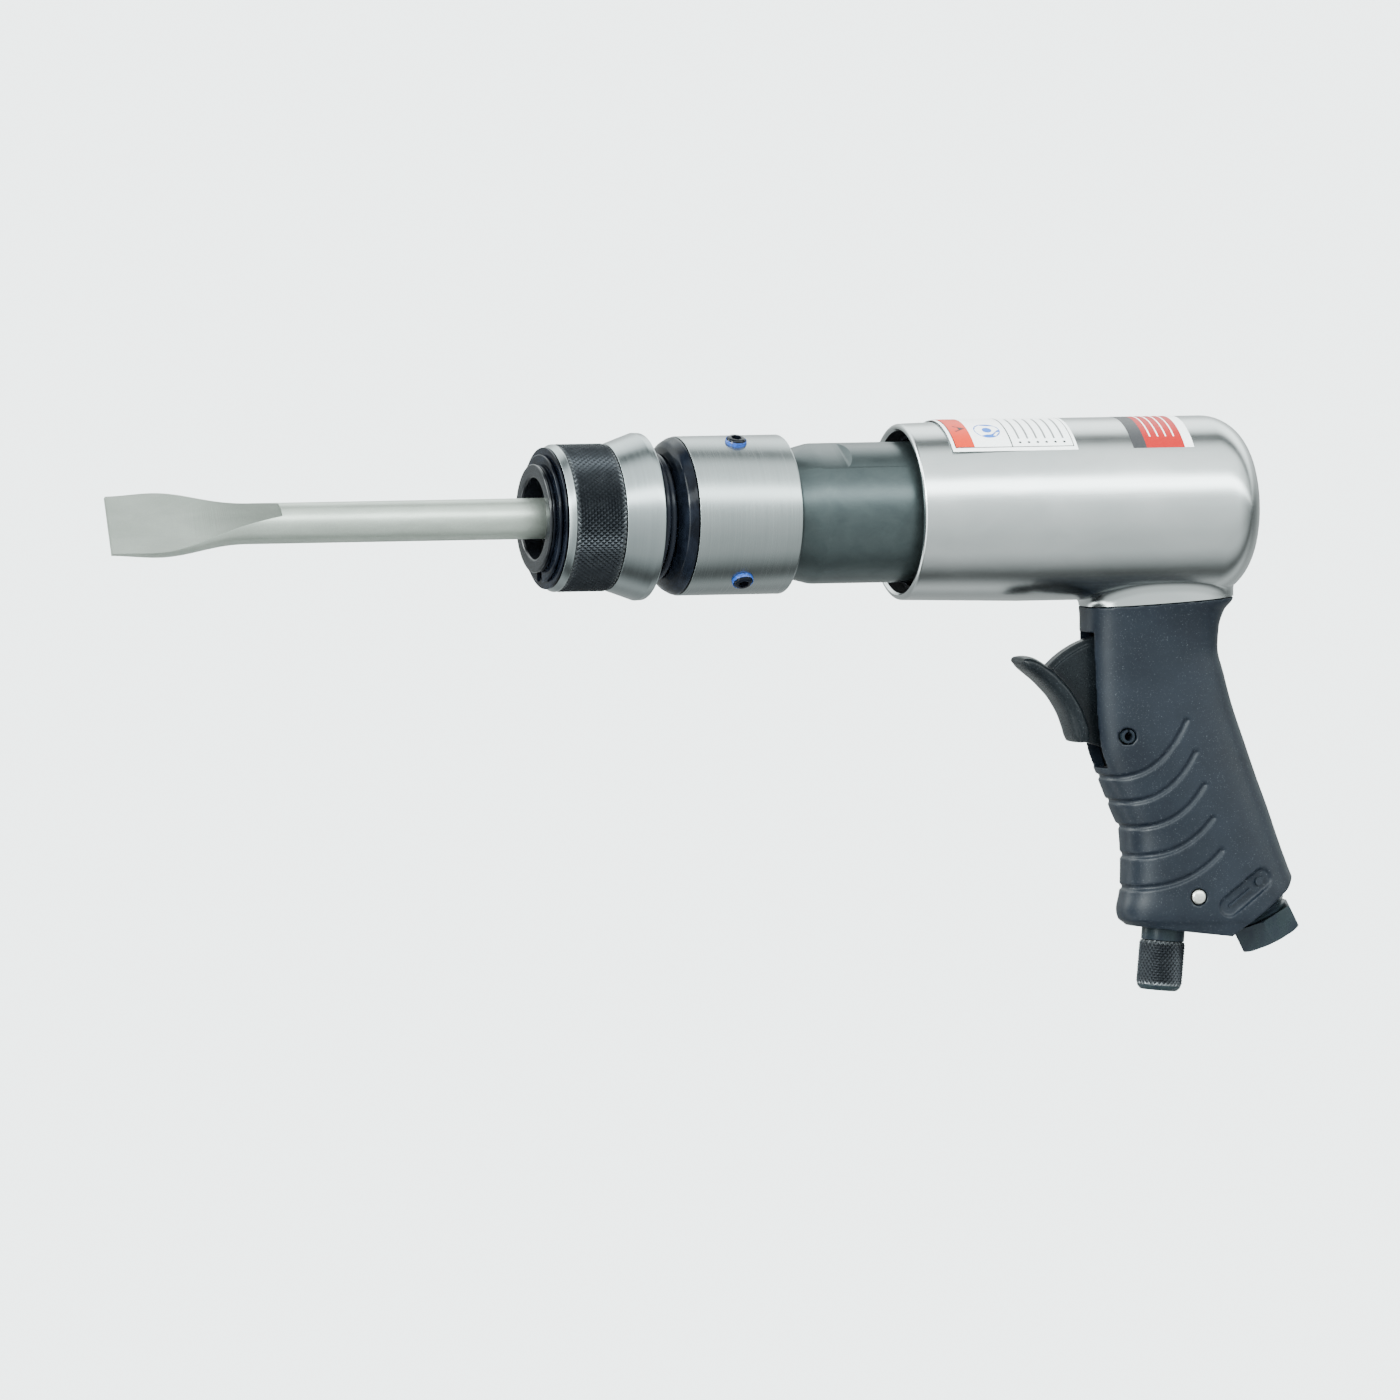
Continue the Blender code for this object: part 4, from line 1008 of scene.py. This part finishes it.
def build_retainer_body():
    lip = COLLAR_LOW.x - GAP
    profile = [
        (COLLAR_HIGH.x, 15.8, 0.2),
        (COLLAR_HIGH.x, 21.2, 0.3),
        (lip, 21.2),
        (lip, 24.5, 0.2),
        (lip - 0.8, 24.4, 1.5),
        (lip - 2.9, 23.2, 2.5),
        (-190.7, 21.5, 2.5),
        (-191.6, 19.5, 0.8),
        (-191.6, TUBE_R, 0.3),
        (SNAP_HIGH.x + 0.2, TUBE_R),
        (SNAP_HIGH.x + 0.2, 15.8),
        (SNAP_LOW.x - 0.3, 15.8),
        (SNAP_LOW.x - 0.3, TUBE_R),
        (BODY_FRONT, TUBE_R, 0.3),
        (BODY_FRONT, 14.3, 0.2),
        (-226, 14.3),
        (-226, 12.4, 0.2),
        (-203.6, 12.4),
        (-203.6, 6.0, 0.3),
        (-197, 6.0, 0.3),
        (-197, 15.8),
    ]
    body = revolved("retainer_tube", profile, BLACK, 128)
    holes = [screw_hole(angle, 18.2, 32) for angle in SCREW_ANGLES]
    for number in (1, 2, 3):
        axis = Vector(JOINTS[f"ball_{number}_slide"]["axis"])
        middle = Vector((node_centre(f"locking_ball_{number}").x, 0, 0))
        holes.append(rod("hole", SCREW_HOLE_R, middle + axis * 9, middle + axis * 19, 32))
    cut(body, *holes)
    shade(body, 30)
    place(body, "frame", "black_steel", "retainer_body")


def build_spring():
    """Round black wire, with a closed turn at each end."""
    low, high = node_box("retainer_spring")
    wire, orbit = 1.0, 18.9
    start, end = high.x - wire, low.x + wire
    count, closed, steps = 4.6, 0.8, 64
    points = []
    for i in range(int(count * steps) + 1):
        turn = i / steps
        share = min(1.0, max(0.0, (turn - closed) / (count - 2 * closed)))
        angle = 2 * math.pi * turn + 1.0
        points.append((start + (end - start) * share, orbit * math.cos(angle), orbit * math.sin(angle)))
    spring = tube("retainer_coil", points, wire, SPRING_METAL, 14)
    place(spring, "frame", "spring_steel", "retainer_spring")


def build_sleeve():
    rear, front = SLEEVE_HIGH.x, SLEEVE_LOW.x
    rear_r = SLEEVE_HIGH.z
    ramp, seat = -215.5, -205.2
    profile = [
        (rear, 20.6, 0.3),
        (rear, rear_r - 0.1, 0.7),
        (rear - 2.4, rear_r, 0.5),
        (KNURL_HIGH.x + GAP, KNURL_R - 0.2, 0.25),
        (KNURL_HIGH.x + GAP, 20.8),
        (KNURL_LOW.x - GAP, 20.8),
        (KNURL_LOW.x - GAP, KNURL_R, 0.15),
        (KNURL_LOW.x - 0.9, KNURL_R - 0.05, 0.4),
        (front, 21.9, 0.35),
        (front, SLEEVE_BORE, 0.3),
        (-226.2, SLEEVE_BORE),
        (-226.2, 18.7),
        (ramp - 5, 18.7),
        (ramp, SLEEVE_BORE),
        (seat, SLEEVE_BORE),
        (seat, 20.6),
    ]
    sleeve = revolved("sleeve_cone", profile, SLEEVE_METAL, 160)
    place(sleeve, "sleeve", "satin_steel", "release_sleeve")
    ends = KNURL_LOW.x, KNURL_HIGH.x
    band = knurl("sleeve_knurl", KNURL_R + 0.1, *ends, (1.65, 1.9), 0.55, KNURL_METAL, 21.1)
    place(band, "sleeve", "black_steel", "knurled_ring")


def flat_ring(name, stations, inner, outer, fillet):
    rear, front = stations
    profile = [(rear, inner), (rear, outer, fillet), (front, outer, fillet), (front, inner)]
    return revolved(name, profile, BLACK, 128)


def build_nose():
    washer = flat_ring("nose_washer", (WASHER_HIGH.x, WASHER_LOW.x), 16.95, 22.0, 0.25)
    place(washer, "frame", "black_steel", "retaining_washer")
    snap = flat_ring("nose_snap_ring", (SNAP_HIGH.x, SNAP_LOW.x), 16.1, 19.8, 0.45)
    cut(snap, block("gap", (-233, -2.2, -22), (-228, 2.2, -12)))
    shade(snap)
    place(snap, "frame", "black_steel", "snap_ring")
    front = NOSE_LOW.x
    profile = [
        (NOSE_HIGH.x, 12.4, 0.2),
        (NOSE_HIGH.x, 14.0),
        (-231.9, 14.0),
        (-231.9, 16.9, 0.2),
        (front, 16.8, 0.8),
        (front, 12.45, 1.0),
    ]
    nose = revolved("nose_buffer", profile, RUBBER, 128, None, 40, 8)
    place(nose, "frame", "black_rubber", "nose_ring")


# ================================================================ chisel
# Where the flats start, where their turn ends, and their roll at both
FLAT_START = -316.4
TWIST_END = -352.0
ROLL_START = math.radians(-50)
ROLL_TIP = math.radians(-23)


def smooth_step(share):
    """0 below 0, 1 above 1, with an even bend between."""
    share = min(1.0, max(0.0, share))
    return share * share * (3 - 2 * share)


def build_chisel():
    """Shank, collar and round body; two slightly twisted flats thin the widened end to its edge."""
    body, shank = 6.35, 5.09
    tail, tip = CHISEL_HIGH.x, CHISEL_LOW.x
    stations = [
        (tail, 0.01),
        (tail, shank - 0.9),
        (tail - 0.9, shank),
        (-203.5, shank),
        (-203.9, shank + 0.6),
        (-204.0, 11.0),
        (-204.3, 11.3),
        (-208.6, 11.3),
        (-209.0, 11.0),
        (-210.2, 6.9),
        (-211.2, body),
        (-300.0, body),
    ]
    sides = 180
    rings = [circle(x, radius, sides) for x, radius in stations]
    for x in np.linspace(-305, tip, 110):
        wide = body + 4.05 * smooth_step((-326 - x) / 30) - 0.85 * smooth_step((-356 - x) / (-356 - tip))
        rings.append([(x, body * math.cos(a), wide * math.sin(a)) for a in turns(sides)])
    chisel = lofted("chisel_blank", rings, CHISEL_METAL)
    start = Vector((FLAT_START, 5.68, 0))
    edge = Vector((tip, 0.9, 0))
    slope = math.atan2(start.y - edge.y, start.x - edge.x)
    length = (start - edge).length
    wedges = []
    for side in (1, -1):
        lay = Matrix.Translation(Vector((edge.x, edge.y * side, 0)) * MM)
        lay @= Matrix.Rotation(slope * side, 4, "Z")
        low, high = sorted((0, 15 * side))
        wedges.append(block("wedge", (-20, low, -20), (length, high, 20), lay))
    cut(chisel, *wedges)
    chisel.data.materials.append(SHADED_FLAT_METAL)
    # The flat faces get the darker copy of the blasted finish, which paints shade on them
    with editing(chisel) as mesh:
        flats = [face for face in mesh.faces if face.calc_area() > 0.0002 and abs(face.normal.y) > 0.99]
        for face in flats:
            face.material_index = 1
        bmesh.ops.triangulate(mesh, faces=flats)
        for vertex in mesh.verts:
            share = smooth_step((FLAT_START - vertex.co.x / MM) / (FLAT_START - TWIST_END))
            roll = ROLL_START + (ROLL_TIP - ROLL_START) * share
            vertex.co = Matrix.Rotation(roll, 3, "X") @ vertex.co
    shade(chisel, 3.4)
    place(chisel, "chisel", "forged_steel", "chisel")


# ================================================================ trigger and pins
def lever_line():
    """Centre line of the lever with half width and half thickness, from its tip down."""
    rows = np.array(
        (
            (-73.9, -46.7, 6.4, 1.5),
            (-72.6, -47.0, 7.6, 2.2),
            (-70.2, -48.3, 8.2, 2.6),
            (-65.3, -51.9, 8.5, 2.8),
            (-60.3, -57.1, 8.5, 2.8),
            (-56.9, -62.6, 8.5, 2.8),
            (-54.7, -68.5, 8.5, 2.8),
            (-54.1, -72.2, 8.3, 2.7),
        )
    )
    steps = np.linalg.norm(np.diff(rows[:, :2], axis=0), axis=1)
    distance = np.concatenate(([0], np.cumsum(steps)))
    samples = np.linspace(0, distance[-1], 60)
    columns = []
    for k in range(4):
        fine = np.interp(samples, distance, rows[:, k])
        for _ in range(10):
            fine[1:-1] = (fine[:-2] + fine[1:-1] * 2 + fine[2:]) / 4
        columns.append(fine)
    return np.stack(columns, 1)


def sector(name, radius, half, inner_points):
    """The trigger's flat web: a disc sector centred on the pin, closed by inner points."""
    outline = []
    for i in range(49):
        angle = math.radians(-0.9 + 47.9 * i / 48)
        outline.append((PIVOT.x - radius * math.sin(angle), PIVOT.z + radius * math.cos(angle)))
    outline += inner_points
    rings = [[(x, y, z) for x, z in outline] for y in (-half, half)]
    return lofted(name, rings)


def build_trigger():
    line = lever_line()
    rings = []
    for i, (x, z, half_width, half_thick) in enumerate(line):
        ahead, behind = line[min(i + 1, len(line) - 1)], line[max(i - 1, 0)]
        tangent = Vector((ahead[0] - behind[0], 0, ahead[1] - behind[1])).normalized()
        out = Vector((tangent.z, 0, -tangent.x))
        end = min(i, len(line) - 1 - i)
        taper = 1 if end > 4 else 0.72 + 0.28 * math.sin(math.pi / 2 * end / 5)
        ring = []
        for angle in turns(40):
            cosine, sine = math.cos(angle), math.sin(angle)
            depth = half_thick * taper * math.copysign(abs(cosine) ** 0.72, cosine)
            width = half_width * (0.9 + 0.1 * taper) * math.copysign(abs(sine) ** 0.72, sine)
            ring.append(Vector((x, width, z)) + out * depth)
        rings.append(ring)
    trigger = lofted("trigger_lever", rings, TRIGGER_PLASTIC)
    inner = [(-60.5, -57), (-57.0, -62.6), (-54.9, -70), (-54.4, -71.6), (-46, -74.4)]
    inner.append((PIVOT.x + 0.5, PIVOT.z - 3.6))
    web = sector("web", 29.6, 3.0, inner)
    rim = sector("rim", 31.5, 2.3, inner)
    hub = across_bar("hub", PIVOT, 4.4, 6.0)
    cut(trigger, web, rim, hub, operation="UNION")
    cut(trigger, across_bar("hub_hole", PIVOT, 2.45))
    remeshed(trigger, 0.28)
    place(trigger, "trigger", "black_composite", "trigger")


def build_pins():
    """The trigger's rolled pin has a slit; the regulator's pin is solid with domed ends."""
    half = 13.0
    profile = [(-half, 1.35, 0.1), (-half, 2.15, 0.25), (half, 2.15, 0.25), (half, 1.35, 0.1)]
    lay = axis_matrix(PIVOT, Vector((0, 1, 0)))
    roll = revolved("trigger_roll_pin", profile, BLACK_HEX, 48, lay, 40)
    slit = block("slit", (PIVOT.x - 0.35, -20, PIVOT.z), (PIVOT.x + 0.35, 20, PIVOT.z + 4))
    cut(roll, slit)
    shade(roll, 40)
    place(roll, "frame", "black_steel", "trigger_pin")
    low, high = node_box("regulator_retaining_pin")
    length = high.y - low.y
    ends = [(0, 0), (0.02, 1.0), (0.25, 1.85, 0.2), (0.7, 2.28, 0.3)]
    profile = ends + [(length - x, r, *rest) for x, r, *rest in ends[::-1]]
    lay = axis_matrix(Vector((CROSS_PIN.x, low.y, CROSS_PIN.z)), Vector((0, 1, 0)))
    pin = revolved("regulator_cross_pin", profile, PIN_METAL, 48, lay, 50)
    place(pin, "frame", "bright_pin", "regulator_retaining_pin")


# ================================================================ regulator and inlet
def build_regulator():
    lay = axis_matrix(KNOB_POINT, KNOB_DOWN)
    pin_at = KNOB_POINT.z - CROSS_PIN.z
    profile = [
        (-27.6, 0),
        (-27.6, 6.0, 0.3),
        (-21.6, 6.0),
        (-21.6, 4.7),
        (-19.9, 4.7),
        (-19.9, 6.0),
        (pin_at - 2.7, 6.0),
        (pin_at - 2.7, 3.2),
        (pin_at + 2.7, 3.2),
        (pin_at + 2.7, 6.0),
        (-3, 6.0),
        (-3, 6.75, 0.3),
        (1.6, 6.75, 0.2),
        (1.9, 6.05),
        (15.6, 6.05),
        (15.6, 6.8, 0.1),
        (16.1, 6.7, 0.5),
        (17.2, 5.6, 0.6),
        (17.2, 2.4, 0.2),
        (16.7, 2.0, 0.2),
        (16.7, 0),
    ]
    knob = revolved("regulator_stem", profile, BLACK_HEX, 64, lay)
    cut(knob, block("shutter", (-30, 0.8, -8), (-22.5, 8, 8), lay))
    shade(knob, 32)
    place(knob, "regulator", "black_steel", "regulator_knob")
    band = knurl("regulator_knurl", 7.25, 1.9, 15.6, (1.5, 1.75), 0.5, KNURL_METAL, 6.1, lay)
    place(band, "regulator", "black_steel")


def build_inlet():
    lay = axis_matrix(INLET_POINT, INLET_DOWN)
    flats = 19.05
    rings = [circle(x, flats / math.sqrt(3), 6) for x in (0, HEX_HEIGHT)]
    hexagon = lofted("inlet_hexagon", rings, BLACK_HEX)
    hexagon.data.transform(lay @ Matrix.Rotation(math.radians(90 + HEX_TURN), 4, "X"))
    foot = HEX_HEIGHT + 0.4
    dome = [(-1, 0), (-1, 10.6), (0, 10.6), (0.5, 11.3), (foot - 1.7, 11.3), (foot, 9.3), (foot, 0)]
    cut(hexagon, revolved("dome", dome, None, 96, lay), operation="INTERSECT")
    stem = revolved("stem", [(-12, 0), (-12, 7.2, 0.5), (1, 7.2), (1, 0)], None, 64, lay)
    cut(hexagon, stem, operation="UNION")
    thread = [(-8, 0), (-8, 5.0)]
    for k in range(9):
        x = -7.6 + k * 1.41
        thread += [(x, 5.25), (x + 0.7, 5.85)]
    end = HEX_HEIGHT + 2
    thread += [(end - 2.9, 5.9), (end - 1.4, 7.2), (end, 7.2), (end, 0)]
    socket = revolved("socket", thread, None, 64, lay)
    hole = rod("hole", 1.9, INLET_POINT - INLET_DOWN * 14, INLET_POINT + INLET_DOWN * 2, 32)
    cut(hexagon, socket, hole)
    shade(hexagon, 30)
    place(hexagon, "frame", "black_steel", "inlet_bushing")


# ================================================================ labels
def film_radii(level):
    """Lower and upper surface of a film; level counts the films below it."""
    return HOUSING_R - 0.02, HOUSING_R + 0.05 + 0.03 * level


def on_housing(x, angle, radius):
    """A place above the housing's axis; the angle is taken from the top, + towards -Y."""
    return x, -math.sin(angle) * radius, math.cos(angle) * radius


def film(name, x_low, x_high, angle_low, angle_high, level, material):
    """A thin film on the housing between two stations and two angles in degrees."""
    inner, outer = film_radii(level)
    corners = ((x_low, inner), (x_high, inner), (x_high, outer), (x_low, outer))
    steps = 24
    rings = []
    for k in range(steps + 1):
        angle = math.radians(angle_low + (angle_high - angle_low) * k / steps)
        rings.append([on_housing(x, angle, radius) for x, radius in corners])
    place(shade(lofted(name, rings, material), 30), "frame", "polished_aluminium")


def film_disc(name, x, angle, radius, level, material, sides=48):
    rings = []
    for height in film_radii(level):
        ring = []
        for t in turns(sides):
            turn = math.radians(angle) + radius * math.sin(t) / HOUSING_R
            ring.append(on_housing(x + radius * math.cos(t), turn, height))
        rings.append(ring)
    place(shade(lofted(name, rings, material), 30), "frame", "polished_aluminium")


def build_labels():
    """Two blank printed films: colour fields, a disc and rule lines, with no lettering."""
    low, high = -102.0, -61.0
    film("label_a_backing", low, high, -46.5, 46.5, 0, WHITE_FILM)
    film("label_a_border", low + 1.0, high - 1.0, -43.6, 43.6, 1, BLACK_FILM)
    film("label_a_field", low + 1.3, high - 1.3, -43.0, 43.0, 2, WHITE_FILM)
    film("label_a_orange", low + 1.3, low + 7.4, -43.0, 43.0, 3, ORANGE_FILM)
    film("label_a_rule", -82.4, -82.0, -43.0, 43.0, 3, BLACK_FILM)
    for i, angle in enumerate((-26, 26)):
        film_disc(f"label_a_triangle_{i}", -97.6, angle * 0.9, 2.3, 4, BLACK_FILM, 3)
        film_disc(f"label_a_disc_{i}", -88.4, angle, 4.2, 3, BLUE_FILM)
        film_disc(f"label_a_disc_ring_{i}", -88.4, angle, 2.5, 4, WHITE_FILM)
        film_disc(f"label_a_disc_dot_{i}", -88.4, angle, 1.5, 5, BLUE_FILM)
    for i in range(6):
        x = -79.6 + 2.9 * i
        film(f"label_a_line_{i}", x, x + 0.6, 6, 36, 3, GREY_FILM)
        film(f"label_a_back_line_{i}", x, x + 0.6, -36, -6, 3, GREY_FILM)
        film_disc(f"label_a_bullet_{i}", x + 0.3, 39.5, 0.45, 3, BLACK_FILM, 16)
    film("label_b_slate", -42.8, -38.4, -46, 46, 0, SLATE_FILM)
    film("label_b_red", -38.4, -25.9, -46, 46, 0, RED_FILM)
    film("label_b_white", -25.9, -22.9, -46, 46, 0, WHITE_FILM)
    for i in range(4):
        x = -36.4 + 2.6 * i
        film(f"label_b_line_{i}", x, x + 0.4, -36, 36, 1, WHITE_FILM)


# ================================================================ inner parts, stage, camera
def finish_inner_nodes():
    """Materials and soft shading for the CAD's own solids, which show where nothing finer replaces them."""
    for name, node in frame["nodes"].items():
        node.data.materials.clear()
        node.data.materials.append(SLOT_FINISH[NODE_SLOT[name]])
        shade(node, 32)


def studio_paper():
    n = Nodes("studio_paper")
    fibre = n.noise((0.02, 0.02, 0.02), 2.0)
    pale = (0.96, 0.965, 0.97)
    darker = tuple(value * 0.985 for value in pale)
    return n.finish(n.combine(darker, pale, fibre), 0.9, Specular_IOR_Level=0.0)


# The floor's distance below the tool, and its radius, in millimetres
FLOOR_DROP = 500.0
FLOOR_RADIUS = 50000.0


def build_stage():
    """A wide pale floor."""
    floor_z = cad_bounds[0][2] / MM - FLOOR_DROP
    rim = [(FLOOR_RADIUS * math.cos(angle), FLOOR_RADIUS * math.sin(angle), floor_z) for angle in turns(96)]
    floor = new_object("studio_floor", rim, [list(range(96))], studio_paper())
    floor.visible_glossy = False


# Light of the studio by direction, in degrees from the front horizon over the top, negative below it
SKY = (
    (-180, 0.05),
    (-150, 0.05),
    (-129, 0.045),
    (-114, 0.085),
    (-102, 0.045),
    (-94, 0.012),
    (-84, 0.012),
    (-71, 0.05),
    (-54, 0.095),
    (-30, 0.1),
    (0, 0.14),
    (16, 0.17),
    (24, 0.27),
    (29, 1.0),
    (40, 1.0),
    (46, 0.24),
    (84, 0.22),
    (92, 0.1),
    (97, 0.01),
    (108, 0.01),
    (114, 0.2),
    (125, 0.34),
    (140, 0.34),
    (155, 0.12),
    (180, 0.05),
)
# The same by the direction's X, from the nose side to the rear
SKY_SIDES = (
    (-1.0, 0.02),
    (-0.9, 0.02),
    (-0.87, 1.0),
    (-0.76, 1.0),
    (-0.7, 0.16),
    (0.75, 0.18),
    (0.92, 0.11),
    (1.0, 0.055),
)
SKY_STRENGTH = 78.0
SKY_COLOUR = (0.925, 1.0, 0.995, 1)
# Brightness and colour of the lit floor
PLAIN_STRENGTH = 3.8
PLAIN_COLOUR = (0.95, 1.0, 0.985, 1)


def build_lights():
    """A tent of light: a long bright strip in front above, dark gaps overhead, and darker ends.
    Past the floor's edge the camera sees a plain backdrop as bright as the floor."""
    world = bpy.data.worlds.new("studio")
    world.use_nodes = True
    bpy.context.scene.world = world
    tree = world.node_tree

    def math_node(operation, first, second=0.0, third=0.0):
        node = tree.nodes.new("ShaderNodeMath")
        node.operation = operation
        for socket, value in zip(node.inputs, (first, second, third)):
            if isinstance(value, float):
                socket.default_value = value
            else:
                tree.links.new(value, socket)
        return node.outputs["Value"]

    split = tree.nodes.new("ShaderNodeSeparateXYZ")
    tree.links.new(tree.nodes.new("ShaderNodeTexCoord").outputs["Generated"], split.inputs["Vector"])
    forward = math_node("MULTIPLY", split.outputs["Y"], -1.0)
    height = math_node("DIVIDE", math_node("ARCTAN2", split.outputs["Z"], forward), math.pi)
    turn = math_node("MULTIPLY_ADD", height, 0.5, 0.5)
    sky = grey_ramp(tree, turn, [(degrees / 360 + 0.5, value) for degrees, value in SKY])
    side = math_node("MULTIPLY_ADD", split.outputs["X"], 0.5, 0.5)
    ends = grey_ramp(tree, side, [((x + 1) / 2, value) for x, value in SKY_SIDES])
    level = math_node("MULTIPLY", sky, ends)
    background = tree.nodes["Background"]
    background.inputs["Color"].default_value = SKY_COLOUR
    tree.links.new(math_node("MULTIPLY", level, SKY_STRENGTH), background.inputs["Strength"])
    plain = tree.nodes.new("ShaderNodeBackground")
    plain.inputs["Color"].default_value = PLAIN_COLOUR
    plain.inputs["Strength"].default_value = PLAIN_STRENGTH
    seen = tree.nodes.new("ShaderNodeMixShader")
    tree.links.new(tree.nodes.new("ShaderNodeLightPath").outputs["Is Camera Ray"], seen.inputs["Fac"])
    tree.links.new(background.outputs["Background"], seen.inputs[1])
    tree.links.new(plain.outputs["Background"], seen.inputs[2])
    tree.links.new(seen.outputs["Shader"], tree.nodes["World Output"].inputs["Surface"])


# Heading and height of the camera. In millimetres: its distance, the width of its view, and how far the
# view's centre lies from the middle of the housing's mouth, to the nose side and down
HEADING = math.radians(19)
HEIGHT = math.radians(3.2)
CAMERA_DISTANCE = 20000.0
VIEW_WIDTH = 434.0
VIEW_SHIFT = (61.0, 58.3)


def build_camera():
    right = Vector((math.cos(HEADING), -math.sin(HEADING), 0))
    level = Vector((math.sin(HEADING), math.cos(HEADING), 0))
    forward = level * math.cos(HEIGHT) - Vector((0, 0, 1)) * math.sin(HEIGHT)
    up = right.cross(forward)
    centre = Vector((MOUTH_X, 0, 0)) - right * VIEW_SHIFT[0] - up * VIEW_SHIFT[1]
    data = bpy.data.cameras.new("camera")
    data.sensor_width = 36
    data.lens = data.sensor_width * CAMERA_DISTANCE / VIEW_WIDTH
    data.clip_end = 10 * CAMERA_DISTANCE * MM
    camera = bpy.data.objects.new("camera", data)
    camera.location = (centre - forward * CAMERA_DISTANCE) * MM
    camera.rotation_euler = forward.to_track_quat("-Z", "Y").to_euler()
    bpy.context.scene.collection.objects.link(camera)
    bpy.context.scene.camera = camera


finish_inner_nodes()
build_housing()
build_grip()
build_barrel()
build_collar()
build_retainer_body()
build_spring()
build_sleeve()
build_nose()
build_chisel()
build_trigger()
build_pins()
build_regulator()
build_inlet()
build_labels()
build_stage()
build_lights()
build_camera()

bpy.context.view_layer.update()
